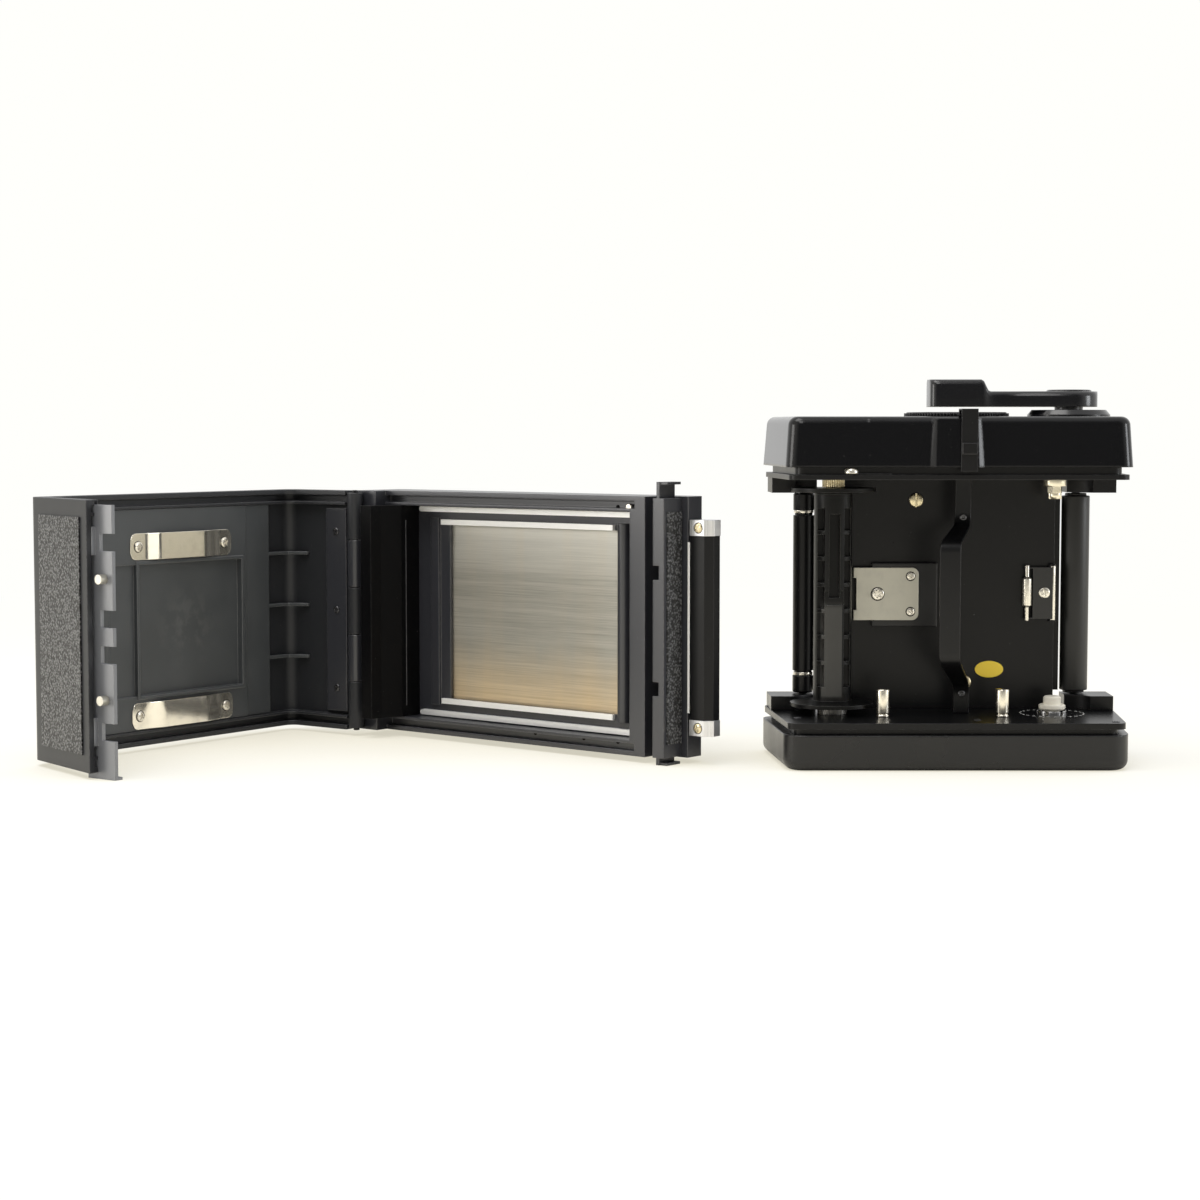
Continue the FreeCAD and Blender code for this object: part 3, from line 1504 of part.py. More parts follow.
def toothed_wheel(name, teeth, spin, side, stem, blade_foot=None):
    """A spur wheel cut from a turned blank by one tooth space repeated round it."""
    wheel = turned(name, stem)
    if blade_foot is not None:
        add_pad(wheel, (
            ("0 - key_blade_width / 2", "0 - key_blade_thick / 2"),
            ("key_blade_width / 2", "0 - key_blade_thick / 2"),
            ("key_blade_width / 2", "key_blade_thick / 2"),
            ("0 - key_blade_width / 2", "key_blade_thick / 2"),
        ), blade_foot, "key_blade_depth + 0.6")
    radius = "(%d * gear_module / 2)" % teeth
    tip = "(%s + gear_module * addendum + 0.5)" % radius
    root = "(%s - gear_module * dedendum)" % radius
    pocket = add_pocket(wheel, (
        (tip, "0 - gear_module * space_half_tip"),
        (tip, "gear_module * space_half_tip"),
        (root, "gear_module * space_half_root"),
        (root, "0 - gear_module * space_half_root"),
    ), "gear_thick", "gear_thick")
    pattern = wheel.newObject("PartDesign::PolarPattern", "Teeth")
    pattern.Originals = [pocket]
    pattern.Axis = ([item for item in wheel.Origin.OriginFeatures if item.Role == "Z_Axis"][0], [""])
    pattern.Angle = 360
    pattern.Occurrences = teeth
    wheel.Tip = pattern
    doc.recompute()
    finish(wheel, "insert", (side, "reel_axis_depth", "gear_level"), spin)


def rim(teeth):
    """Tip radius of a wheel."""
    return "(%d * gear_module / 2 + gear_module * addendum)" % teeth


def winding_gears():
    """The gear train in the winding housing, from the lever over three idlers to the take-up spool."""
    foot = "(spool_low + spool_length + 0.4 - gear_level)"
    toothed_wheel("take_up_gear", END_TEETH, "0", "0 - spool_axis_side", (
        ("0", foot),
        ("key_radius", foot),
        ("key_radius", "0"),
        (rim(END_TEETH), "0"),
        (rim(END_TEETH), "gear_thick"),
        ("0", "gear_thick"),
    ), blade_foot=foot + " - key_blade_depth - 0.4")
    for number, teeth in enumerate(IDLER_TEETH, 1):
        spin = "0" if teeth == 16 else "%g" % (180 / teeth)
        toothed_wheel("idler_gear_%d" % number, teeth, spin, idler_side(number), (
            ("0", "0 - pivot_length"),
            ("pivot_radius", "0 - pivot_length"),
            ("pivot_radius", "0"),
            (rim(teeth), "0"),
            (rim(teeth), "gear_thick"),
            ("0", "gear_thick"),
        ))
    toothed_wheel("lever_gear", END_TEETH, "0", "lever_side", (
        ("0", "0 - pivot_length"),
        ("pivot_radius", "0 - pivot_length"),
        ("pivot_radius", "0"),
        (rim(END_TEETH), "0"),
        (rim(END_TEETH), "gear_thick"),
        ("shaft_radius", "gear_thick"),
        ("shaft_radius", "lever_low - gear_level"),
        ("0", "lever_low - gear_level"),
    ))


winding_gears()


def supply_side():
    """The brass key above and the sprung ivory peg below that hold the supply spool."""
    low = "0 - supply_collar_height - supply_neck_height - supply_tip_height"
    key = turned("supply_key", (
        ("0", low),
        ("supply_neck * 0.7", low),
        ("supply_neck + 0.15", low + " + supply_tip_height * 0.7"),
        ("supply_neck + 0.15", low + " + supply_tip_height"),
        ("supply_neck", low + " + supply_tip_height"),
        ("supply_neck", "0 - supply_collar_height"),
        ("supply_collar", "0 - supply_collar_height"),
        ("supply_collar", "0 - 0.1"),
        ("supply_stem_radius", "0 - 0.1"),
        ("supply_stem_radius", "top_housing_level - top_plate_level - 0.6"),
        ("0", "top_housing_level - top_plate_level - 0.6"),
    ))
    finish(key, "insert", ("supply_axis_side", "reel_axis_depth", "top_plate_level"))
    peg = turned("supply_peg", (
        ("0", "0 - peg_stem_length"),
        ("peg_stem_radius", "0 - peg_stem_length"),
        ("peg_stem_radius", "peg_flange_low"),
        ("peg_flange_radius - 0.5", "peg_flange_low"),
        ("peg_flange_radius", "peg_flange_low + 0.5"),
        ("peg_flange_radius", "peg_flange_low + peg_flange_thick - 0.3"),
        ("peg_flange_radius - 0.4", "peg_flange_low + peg_flange_thick"),
        ("peg_hub_radius", "peg_flange_low + peg_flange_thick"),
        ("peg_hub_radius", "peg_flange_low + peg_flange_thick + peg_hub_height - 0.5"),
        ("peg_hub_radius - 0.5", "peg_flange_low + peg_flange_thick + peg_hub_height"),
        ("0", "peg_flange_low + peg_flange_thick + peg_hub_height"),
    ))
    finish(peg, "insert", ("supply_axis_side", "reel_axis_depth", BASE_TOP))
    legs = []
    seat_low = "base_plate_level - 3.2"
    ring = rod("seat_ring", ("0", "0", seat_low), "peg_bore_radius",
               "base_plate_thick + 3.2 + seat_leg_height")
    inside = rod("seat_inside", ("0", "0", seat_low + " - 1"), "peg_flange_radius + 0.1", "9")
    for number in range(3):
        slot = box("seat_gap", ("0 - 6", "0 - 0.5", BASE_TOP), ("12", "1", "2"))
        slot.Placement = Placement(Vector(), Rotation(Vector(0, 0, 1), 60 * number))
        turn = 60 * number
        bind(slot, "Placement.Base.x", "0 - 6 * cos(%d) + 0.5 * sin(%d)" % (turn, turn))
        bind(slot, "Placement.Base.y", "0 - 6 * sin(%d) - 0.5 * cos(%d)" % (turn, turn))
        bind(slot, "Placement.Base.z", BASE_TOP)
        legs.append(slot)
    seat = cut("supply_seat", ring, [inside] + legs)
    finish(seat, "insert", ("supply_axis_side", "reel_axis_depth", "0"))
    posts = []
    for number in ("one", "two"):
        posts.append(rod("guide_post_" + number, ("post_%s_side" % number, "post_depth", BASE_TOP),
                         "post_radius",
                         "post_height"))
    finish(group("guide_posts", posts), "insert")


supply_side()


def film_presses():
    """The sprung plate by the take-up spool and the swinging arm by the supply spool."""
    pad = box("spring_pad", ("0", "0", "0"),
              ("pad_width", "carrier_near - press_depth - sheet_metal", "pad_height"))
    finish(pad, "insert", ("pad_left", "press_depth + sheet_metal", "pad_low"))
    press = doc.addObject("PartDesign::Body", "film_press_sheet")
    add_pad(press, (
        ("press_left", "press_low"),
        ("press_left + press_width", "press_low"),
        ("press_left + press_width", "press_low + press_height"),
        ("press_left", "press_low + press_height"),
    ), "0 - press_depth - sheet_metal", "sheet_metal", role="XZ_Plane")
    right = value("press_left") + value("press_width")
    soften(press, "press_corner",
           lambda edge: edge.BoundBox.YLength > 0.5 and edge.BoundBox.XMin > right - 0.1
           and edge.BoundBox.XLength < 0.01)
    notch = box("film_press_notch",
                ("press_left - 1", "press_depth - 1", "press_low + (press_height - press_notch_height) / 2"),
                ("press_notch_width + 1", "sheet_metal + 2", "press_notch_height"))
    finish(cut("film_press", press, [notch]), "insert")
    heads = [rod("press_stud", ("press_left + press_width * 0.37", "press_depth - 0.4",
                                "press_low + press_height / 2"),
                 "press_stud_radius", "0.4", "Y")]
    for level in ("press_low + 2.6", "press_low + press_height - 2.6"):
        heads.append(rod("press_screw", ("press_left + press_width - 2.4", "press_depth - 0.4", level),
                         "press_screw_radius", "0.4", "Y"))
    finish(group("film_press_screws", heads), "insert")

    swing = box("film_arm_leaf", ("0 - arm_reach", "0 - arm_barrel_radius", "arm_level_gap"),
                ("arm_reach", "sheet_metal", "arm_height - 2 * arm_level_gap"))
    barrel = rod("film_arm_barrel", ("0", "0", "arm_level_gap"), "arm_barrel_radius",
                 "arm_height - 2 * arm_level_gap")
    screw = rod("film_arm_screw", ("0 - arm_reach / 2", "0 - arm_barrel_radius - 0.5", "arm_height / 2"),
                "1.3", "0.6", "Y")
    pin = rod("film_arm_pin", ("0", "0", "0 - hinge_lug"), "arm_pin_radius", "arm_height + 2 * hinge_lug")
    ears = []
    for level in ("arm_level_gap", "arm_height - arm_level_gap - hinge_lug"):
        ears.append(box("film_arm_ear", ("0 - arm_reach - 2.4", "0 - arm_barrel_radius", level),
                        ("2.5", "sheet_metal", "hinge_lug")))
    roll = turned("film_arm_roll", (
        ("0", "arm_level_gap"),
        ("arm_pin_radius", "arm_level_gap"),
        ("arm_pin_radius", "arm_height * 0.2"),
        ("arm_roll_radius", "arm_height * 0.2 + 1"),
        ("arm_roll_radius", "arm_height * 0.8 - 1"),
        ("arm_pin_radius", "arm_height * 0.8"),
        ("arm_pin_radius", "arm_height - arm_level_gap"),
        ("0", "arm_height - arm_level_gap"),
    ))
    bind(roll, "Placement.Base.x", "0 - arm_reach - 1.7")
    bind(roll, "Placement.Base.y", "sheet_metal / 2 - arm_barrel_radius")
    finish(join("film_arm", [swing, barrel, screw, pin, roll] + ears), "insert",
           ("arm_axis_side", "arm_axis_depth", "arm_low"))
    back = "arm_axis_depth + arm_barrel_radius + 0.1"
    base = box("film_arm_back", ("arm_axis_side - 1", back, "arm_low - hinge_lug"),
               ("1.6", "carrier_near - arm_axis_depth - arm_barrel_radius - 0.1",
                "arm_height + 2 * hinge_lug"))
    lugs = []
    for level in ("arm_low - hinge_lug", "arm_low + arm_height"):
        lugs.append(box("film_arm_lug", ("arm_axis_side - 1", "arm_axis_depth - arm_barrel_radius", level),
                        ("1.6", "carrier_near - arm_axis_depth + arm_barrel_radius", "hinge_lug")))
    hole = rod("film_arm_hole", ("arm_axis_side", "arm_axis_depth", "arm_low - hinge_lug - 1"),
               "arm_pin_radius + fit_gap", "arm_height + 2 * hinge_lug + 2")
    finish(cut("film_arm_hinge", join("film_arm_hinge_blank", [base] + lugs), [hole]), "insert")


film_presses()


def winding_lever():
    """The cranked winding lever: a thin round-ended arm that steps up to a thick thumb block."""
    reach = "(lever_side - lever_grip_start)"
    hub = rod("lever_hub_round", ("0", "0", "0"), "arm_tip_radius", "lever_arm_height")
    profile = plate(
        "lever_profile",
        (
            ("0", "0"),
            ("0", "lever_arm_height"),
            ("0 - %s + lever_grip_length + lever_slope" % reach, "lever_arm_height"),
            ("0 - %s + lever_grip_length" % reach, "lever_grip_height"),
            ("0 - %s" % reach, "lever_grip_height"),
            ("0 - %s" % reach, "0"),
        ),
        "0 - arm_tip_radius",
        "2 * arm_tip_radius",
        role="XZ_Plane",
    )
    plan = plate(
        "lever_plan",
        (
            ("0", "0 - arm_tip_radius"),
            ("0", "arm_tip_radius"),
            ("0 - %s" % reach, "lever_grip_half_width"),
            ("0 - %s" % reach, "0 - lever_grip_half_width"),
        ),
        "0",
        "lever_grip_height",
    )
    soften(plan, "1.8", lambda edge: upright(edge) and edge.BoundBox.XMax < -value("lever_side"))
    common = doc.addObject("Part::MultiCommon", "lever_arm_shape")
    common.Shapes = [profile, plan]
    lever = join("lever_blank", [common, hub])
    cap = rod("lever_cap", ("0", "0", "lever_arm_height"), "arm_tip_radius * 0.8", "0.5")
    finish(join("wind_lever", [lever, cap]), "insert", ("lever_side", "reel_axis_depth", "lever_low"))
    disc = turned("lever_disc", (
        ("shaft_radius + fit_gap", "0"),
        ("lever_disc_radius", "0"),
        ("lever_disc_radius", "0.6"),
        ("lever_disc_radius - 1.2", "lever_low - %s - lever_collar_height" % HOUSING_TOP),
        ("lever_collar_radius", "lever_low - %s - lever_collar_height" % HOUSING_TOP),
        ("lever_collar_radius", "lever_low - %s - fit_gap" % HOUSING_TOP),
        ("shaft_radius + fit_gap", "lever_low - %s - fit_gap" % HOUSING_TOP),
    ))
    finish(disc, "insert", ("lever_side", "reel_axis_depth", HOUSING_TOP))


winding_lever()


def counter_dial():
    """The knurled dial on the top housing."""
    dial = turned("counter_dial", (
        ("0", "0 - 3"),
        ("dial_stem_radius", "0 - 3"),
        ("dial_stem_radius", "0"),
        ("dial_radius", "0"),
        ("dial_radius", "dial_thick"),
        ("0", "dial_thick"),
    ))
    finish(dial, "insert", ("dial_side", "reel_axis_depth", "top_housing_level + top_housing_height + 0.12"))


counter_dial()


def release_clip():
    """The bent spring clip on the raised middle of the housing."""
    back = "(0 - insert_depth / 2 - boss_proud - fit_gap)"
    strip = box("clip_strip", ("clip_left", back + " - clip_thick", "clip_low"),
                ("clip_width", "clip_thick", "clip_high - clip_low"))
    hook = box("clip_hook", ("clip_left", back + " - clip_thick", "clip_high - clip_thick"),
               ("clip_width", "boss_proud + clip_thick + clip_hook_reach", "clip_thick"))
    tooth = box("clip_tooth", ("clip_left", back + " + boss_proud + clip_hook_reach - clip_thick",
                               HOUSING_TOP + " + 0.1"),
                ("clip_width", "clip_thick", "clip_high - 0.1 - %s" % HOUSING_TOP))
    thumb = box("clip_thumb", ("clip_left + 0.3", back + " - clip_thick - clip_thumb_proud",
                               "clip_block_low"),
                ("clip_width - 0.6", "clip_thumb_proud", "clip_block_height"))
    finish(join("release_clip", [strip, hook, tooth, thumb]), "insert")


release_clip()


def band_bracket():
    """The thin bracket that lies on the upper plate in front of its band, held by a pan-head screw."""
    front = "(band_inset - insert_depth / 2)"
    seat = "top_plate_level + top_plate_thick"
    bracket = box("band_bracket_sheet", ("bracket_left", front + " - bracket_depth", seat),
                  ("bracket_width", "bracket_depth", "bracket_thick"))
    head = rod("band_bracket_screw",
               ("bracket_screw_side", front + " - bracket_depth / 2 - 0.15", seat + " + bracket_thick"),
               "bracket_screw_radius", "bracket_screw_head")
    finish(join("band_bracket", [bracket, head]), "insert")


band_bracket()
doc.recompute()


problems = []
for item in doc.Objects:
    if "Invalid" in item.State or "Error" in item.State:
        problems.append("%s (%s): %s" % (item.Label, item.TypeId, item.State))
for item in finished:
    shape = item.Shape
    if shape.isNull() or not shape.isValid() or not shape.Solids:
        problems.append("%s: no valid solid" % item.Label)
if problems:
    sys.exit("\n".join(problems))

os.makedirs("parts", exist_ok=True)
for item in finished:
    item.Shape.exportStep("parts/%s.step" % item.Label)
print("%d sub-parts written" % len(finished))
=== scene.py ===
import json
import logging
import math
from dataclasses import dataclass, field
from enum import Enum
from typing import Iterable, Optional, Sequence, Union

import bmesh
import bpy
from mathutils import Matrix, Vector


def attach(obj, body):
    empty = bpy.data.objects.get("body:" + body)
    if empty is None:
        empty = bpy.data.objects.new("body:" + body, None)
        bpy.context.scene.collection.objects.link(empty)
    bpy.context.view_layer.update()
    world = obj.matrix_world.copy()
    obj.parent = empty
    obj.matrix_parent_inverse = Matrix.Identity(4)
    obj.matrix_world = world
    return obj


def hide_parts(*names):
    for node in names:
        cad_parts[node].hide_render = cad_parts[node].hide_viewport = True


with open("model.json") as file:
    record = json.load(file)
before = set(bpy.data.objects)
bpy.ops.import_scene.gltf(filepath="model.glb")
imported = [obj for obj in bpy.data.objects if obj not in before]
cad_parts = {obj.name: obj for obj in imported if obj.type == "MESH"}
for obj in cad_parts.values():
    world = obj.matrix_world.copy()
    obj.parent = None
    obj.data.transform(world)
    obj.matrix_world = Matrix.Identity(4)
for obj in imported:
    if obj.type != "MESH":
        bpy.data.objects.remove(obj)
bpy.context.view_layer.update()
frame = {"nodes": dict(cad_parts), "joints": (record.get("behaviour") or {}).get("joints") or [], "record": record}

log = logging.getLogger("roll_film_holder")

MM = 0.001
FULL_TURN = 2 * math.pi
ON_AXIS = 1e-6
COAT_ROUGHNESS = 0.12
Colour = tuple[float, float, float]
Place = tuple[float, float, float]
Point = tuple[float, float]
Span = tuple[float, float]
Mesh = bmesh.types.BMesh


class Direction(Enum):
    """Named directions in which a turned piece or a screw head points."""

    UP = (0.0, 0.0, 1.0)
    RIGHT = (1.0, 0.0, 0.0)
    TOWARDS_VIEWER = (0.0, -1.0, 0.0)
    AWAY = (0.0, 1.0, 0.0)


class Recess(Enum):
    """The driver recess of a screw head, by its number of arms."""

    SLOT = 2
    CROSS = 4
    STAR = 6


# Shader expressions


class Term:
    """A shader socket that takes part in ordinary expressions."""

    def __init__(self, graph: "Graph", socket: bpy.types.NodeSocket) -> None:
        """Keep the graph and the socket together."""
        self.graph = graph
        self.socket = socket

    def _join(self, operation: str, left: "Operand", right: "Operand") -> "Term":
        """The result of one Math node."""
        return self.graph.term("ShaderNodeMath", 0, {"operation": operation}, {0: left, 1: right})

    def __add__(self, other: "Operand") -> "Term":
        """Sum."""
        return self._join("ADD", self, other)

    def __radd__(self, other: "Operand") -> "Term":
        """Sum with a number in front."""
        return self._join("ADD", other, self)

    def __sub__(self, other: "Operand") -> "Term":
        """Difference."""
        return self._join("SUBTRACT", self, other)

    def __rsub__(self, other: "Operand") -> "Term":
        """Difference with a number in front."""
        return self._join("SUBTRACT", other, self)

    def __mul__(self, other: "Operand") -> "Term":
        """Product."""
        return self._join("MULTIPLY", self, other)

    def __rmul__(self, other: "Operand") -> "Term":
        """Product with a number in front."""
        return self._join("MULTIPLY", other, self)

    def highest(self, other: "Operand") -> "Term":
        """The larger of two values."""
        return self._join("MAXIMUM", self, other)

    def lowest(self, other: "Operand") -> "Term":
        """The smaller of two values."""
        return self._join("MINIMUM", self, other)

    def clipped(self) -> "Term":
        """The value held between 0 and 1."""
        return self.highest(0.0).lowest(1.0)

    def ramp(self, low: float, high: float) -> "Term":
        """A smooth step from 0 at low to 1 at high."""
        return self.graph.term("ShaderNodeMapRange", "Result", {"interpolation_type": "SMOOTHSTEP"},
                               {"Value": self, "From Min": low, "From Max": high})


Operand = Union[Term, float, int]
Tint = Union[Term, Colour]


class Graph:
    """The node tree of one material or of the world, built from expressions."""

    def __init__(self, tree: bpy.types.NodeTree) -> None:
        """Empty the tree before it is built."""
        self.tree = tree
        self.tree.nodes.clear()

    def node(self, kind: str, settings: Optional[dict] = None,
             inputs: Optional[dict] = None) -> bpy.types.Node:
        """Add any node.

        Args:
            kind: The node's type name.
            settings: Properties that are set before anything is linked.
            inputs: Socket names or numbers with the value or term for each.

        Returns:
            The new node.
        """
        item = self.tree.nodes.new(kind)
        for name, setting in (settings or {}).items():
            setattr(item, name, setting)
        for key, entry in (inputs or {}).items():
            if isinstance(entry, Term):
                self.tree.links.new(entry.socket, item.inputs[key])
            elif isinstance(entry, tuple) and item.inputs[key].type == "RGBA":
                item.inputs[key].default_value = (*entry, 1.0)
            else:
                item.inputs[key].default_value = entry
        return item

    def term(self, kind: str, output: Union[str, int], settings: Optional[dict] = None,
             inputs: Optional[dict] = None) -> Term:
        """Add a node and take one of its outputs, by name or number."""
        return Term(self, self.node(kind, settings, inputs).outputs[output])

    def place(self) -> Term:
        """Where a point lies on the object at rest, in metres."""
        return self.term("ShaderNodeTexCoord", "Object")

    def parts(self, source: Term) -> tuple[Term, ...]:
        """The three parts of a vector."""
        node = self.node("ShaderNodeSeparateXYZ", None, {0: source})
        return tuple(Term(self, output) for output in node.outputs)

    def vectors(self, operation: str, first: Union[Term, Place], second: Union[Term, Place]) -> Term:
        """One value that is worked out from two vectors."""
        return self.term("ShaderNodeVectorMath", "Value", {"operation": operation}, {0: first, 1: second})

    def stretched(self, source: Term, along: Vector, across: Vector, stretch: float) -> Term:
        """Coordinates drawn out along one direction, for brushed and rolled metal.

        Args:
            source: Coordinates in metres.
            along: Direction of the brush marks.
            across: Direction across the marks.
            stretch: How many times longer than wide the marks are.

        Returns:
            A vector for a texture.
        """
        first = self.vectors("DOT_PRODUCT", source, tuple(along / stretch))
        second = self.vectors("DOT_PRODUCT", source, tuple(across))
        return self.term("ShaderNodeCombineXYZ", 0, None, {0: first, 1: second})

    def noise(self, source: Term, grain_mm: float, detail: float = 2.0, rough: float = 0.5) -> Term:
        """Cloudy noise with grains of a given size."""
        return self.term("ShaderNodeTexNoise", 0, None, {
            "Vector": source, "Scale": 1 / (grain_mm * MM), "Detail": detail, "Roughness": rough})

    def cells(self, source: Term, cell_mm: float) -> Term:
        """Cells of a given size, as distance from each cell's middle."""
        return self.term("ShaderNodeTexVoronoi", "Distance", {"feature": "F1"},
                         {"Vector": source, "Scale": 1 / (cell_mm * MM)})

    def blend(self, factor: Operand, first: Tint, second: Tint) -> Term:
        """Mix two colours."""
        return self.term("ShaderNodeMix", 2, {"data_type": "RGBA"}, {0: factor, 6: first, 7: second})

    def rounded_edges(self, radius_mm: float) -> tuple[Term, Term]:
        """Rounded edges as shading, and where they are.

        Args:
            radius_mm: Radius of the rounded edge.

        Returns:
            The softened normal, and a value that rises towards 1 on edges.
        """
        soft = self.term("ShaderNodeBevel", 0, {"samples": 6}, {"Radius": radius_mm * MM})
        plain = self.term("ShaderNodeNewGeometry", "Normal")
        return soft, (1 - self.vectors("DOT_PRODUCT", soft, plain)).ramp(0.02, 0.3)

    def bump(self, height: Term, depth_mm: float, normal: Optional[Term] = None) -> Term:
        """Relief of a given depth."""
        under = {} if normal is None else {"Normal": normal}
        return self.term("ShaderNodeBump", 0, None,
                         {"Height": height, "Distance": depth_mm * MM, "Strength": 1.0, **under})


@dataclass(frozen=True)
class Finish:
    """Common ground of every finish, each of which has one material."""

    name: str
    slot: str
    colour: Colour
    roughness: float = 0.35
    metallic: float = 0.0
    coat: float = 0.0
    edge_mm: float = 0.25
    specular: float = 0.5

    def material(self) -> bpy.types.Material:
        """The material of this finish, made on first use.

        Returns:
            The finished material.
        """
        title = "finish_" + self.name
        known = bpy.data.materials.get(title)
        if known is not None:
            return known
        made = bpy.data.materials.new(title)
        made.use_nodes = True
        graph = Graph(made.node_tree)
        inputs = {"Base Color": self.colour, "Roughness": self.roughness, "Metallic": self.metallic,
                  "Specular IOR Level": self.specular, "Coat Weight": self.coat,
                  "Coat Roughness": COAT_ROUGHNESS, **self.surface(graph)}
        shader = graph.term("ShaderNodeBsdfPrincipled", 0, None, inputs)
        graph.node("ShaderNodeOutputMaterial", None, {0: shader})
        return made

    def surface(self, graph: Graph) -> dict[str, Term]:
        """What varies over the surface, by shader socket."""
        normal, _ = graph.rounded_edges(self.edge_mm)
        return {"Normal": normal}


@dataclass(frozen=True)
class Enamel(Finish):
    """Baked enamel with a faint orange peel, lighter edges that are partly wear and partly a painted highlight,
    and a little dust.
    """

    # edge colour: partly wear, partly a painted highlight on the rounded edges
    edge_wear_and_highlight: Colour = (0.1, 0.1, 0.105)
    peel: float = 0.006
    haze: float = 0.08
    patch_mm: float = 9.0
    peel_mm: float = 0.7
    scuff_mm: float = 1.6
    scuff_span: Span = (0.35, 0.75)
    dust_mm: float = 0.5
    dust_span: Span = (0.78, 0.84)
    dust_cover: float = 0.35
    dust_dulling: float = 0.2
    dust: Colour = (0.3, 0.3, 0.3)

    def surface(self, graph: Graph) -> dict[str, Term]:
        """Orange peel, lighter edges that are partly wear and partly a painted highlight, and uneven gloss.

        Args:
            graph: The material's node tree.

        Returns:
            A term for each socket that varies.
        """
        where = graph.place()
        normal, edge = graph.rounded_edges(self.edge_mm)
        patches = graph.noise(where, self.patch_mm, 3.0)
        fine = graph.noise(where, self.peel_mm)
        scuffs = graph.noise(where, self.scuff_mm, 4.0, 0.65).ramp(*self.scuff_span)
        dust = graph.noise(where, self.dust_mm, 1.0).ramp(*self.dust_span)
        # lighter edges: partly wear, partly a painted highlight
        colour = graph.blend(edge * (scuffs * 0.7 + 0.3), self.colour, self.edge_wear_and_highlight)
        rough = self.roughness + (patches - 0.5) * self.haze + dust * self.dust_dulling
        return {
            "Base Color": graph.blend(dust * self.dust_cover, colour, self.dust),
            "Roughness": rough.clipped(),
            "Normal": graph.bump(fine, self.peel, normal),
        }


@dataclass(frozen=True)
class Moulding(Finish):
    """Injection-moulded plastic with a fine spark-eroded grain and painted edge shading: a lighter edge colour as
    a painted highlight, a darker one as painted shade.
    """

    grain_mm: float = 0.16
    depth_mm: float = 0.008
    drift_mm: float = 14.0
    drift_span: Span = (0.3, 0.7)
    drift_share: float = 0.3
    drift_gloss: float = 0.08
    painted_edge_share: float = 0.8
    cast: Colour = (0.06, 0.06, 0.062)
    # edge colour: a painted highlight where lighter than the body, painted shade where darker
    rim: Colour = (0.06, 0.06, 0.062)

    def surface(self, graph: Graph) -> dict[str, Term]:
        """Grain, slow colour drift, and softened edges with painted edge shading.

        Args:
            graph: The material's node tree.

        Returns:
            A term for each socket that varies.
        """
        where = graph.place()
        normal, edge = graph.rounded_edges(self.edge_mm)
        grain = graph.noise(where, self.grain_mm)
        drift = graph.noise(where, self.drift_mm).ramp(*self.drift_span)
        colour = graph.blend(drift * self.drift_share, self.colour, self.cast)
        return {
            # painted edge shading on the rounded edges
            "Base Color": graph.blend(edge * self.painted_edge_share, colour, self.rim),
            "Roughness": (self.roughness + (drift - 0.5) * self.drift_gloss).clipped(),
            "Normal": graph.bump(grain, self.depth_mm, normal),
        }


@dataclass(frozen=True)
class Leatherette(Finish):
    """Pebbled covering: raised rounded grains between creases, with painted shade in the creases and painted
    highlights and glints on the crowns.
    """

    pebble_mm: float = 0.75
    relief_mm: float = 0.3
    drift_mm: float = 1.7
    small_size: float = 0.45
    lit_span: Span = (0.3, 0.6)
    lit_gloss: float = 0.18
    glint_span: Span = (0.5, 0.75)
    glint_share: float = 0.45
    # the crown colour is a painted highlight on the pebbles, the next colour painted glints
    crown: Colour = (0.07, 0.072, 0.076)
    painted_glint: Colour = (0.24, 0.24, 0.25)

    def surface(self, graph: Graph) -> dict[str, Term]:
        """Pebbles with painted shade in their creases, painted highlights and glints on their crowns, and a harder
        shine there.

        Args:
            graph: The material's node tree.

        Returns:
            A term for each socket that varies.
        """
        where = graph.place()
        grains = graph.cells(where, self.pebble_mm)
        small = graph.cells(where, self.pebble_mm * self.small_size)
        drift = graph.noise(where, self.drift_mm)
        crown = 1 - (grains * 0.8 + small * 0.3 + (drift - 0.5) * 0.3)
        lit = crown.ramp(*self.lit_span)
        glints = crown.ramp(*self.glint_span) * self.glint_share
        # painted highlight on lit crowns, painted shade left in the creases, then painted glints
        colour = graph.blend(lit, self.colour, self.crown)
        return {
            "Base Color": graph.blend(glints, colour, self.painted_glint),
            "Roughness": (self.roughness - lit * self.lit_gloss).clipped(),
            "Normal": graph.bump(crown, self.relief_mm),
        }


@dataclass(frozen=True)
class Brushed(Finish):
    """Metal with long brush marks along one direction."""

    along: Place = (1.0, 0.0, 0.0)
    across: Place = (0.0, 0.0, 1.0)
    dark: Colour = (0.3, 0.29, 0.27)
    mark_mm: float = 0.14
    depth_mm: float = 0.006
    stretch: float = 90.0
    broad: float = 9.0
    broad_share: float = 0.35
    mark_gloss: float = 0.22
    band: Span = (0.34, 0.66)

    def drawn(self, graph: Graph) -> Term:
        """Coordinates drawn out along the brush marks."""
        return graph.stretched(graph.place(), Vector(self.along), Vector(self.across), self.stretch)

    def surface(self, graph: Graph) -> dict[str, Term]:
        """Streaks in colour, gloss and relief.

        Args:
            graph: The material's node tree.

        Returns:
            A term for each socket that varies.
        """
        drawn = self.drawn(graph)
        marks = graph.noise(drawn, self.mark_mm, 3.0, 0.7)
        broad = graph.noise(drawn, self.mark_mm * self.broad, 3.0, 0.6)
        mixed = (marks * (1 - self.broad_share) + broad * self.broad_share).ramp(*self.band)
        normal, _ = graph.rounded_edges(self.edge_mm)
        return {
            "Base Color": graph.blend(mixed, self.dark, self.colour),
            "Roughness": (self.roughness + (marks - 0.5) * self.mark_gloss).clipped(),
            "Normal": graph.bump(marks, self.depth_mm, normal),
        }


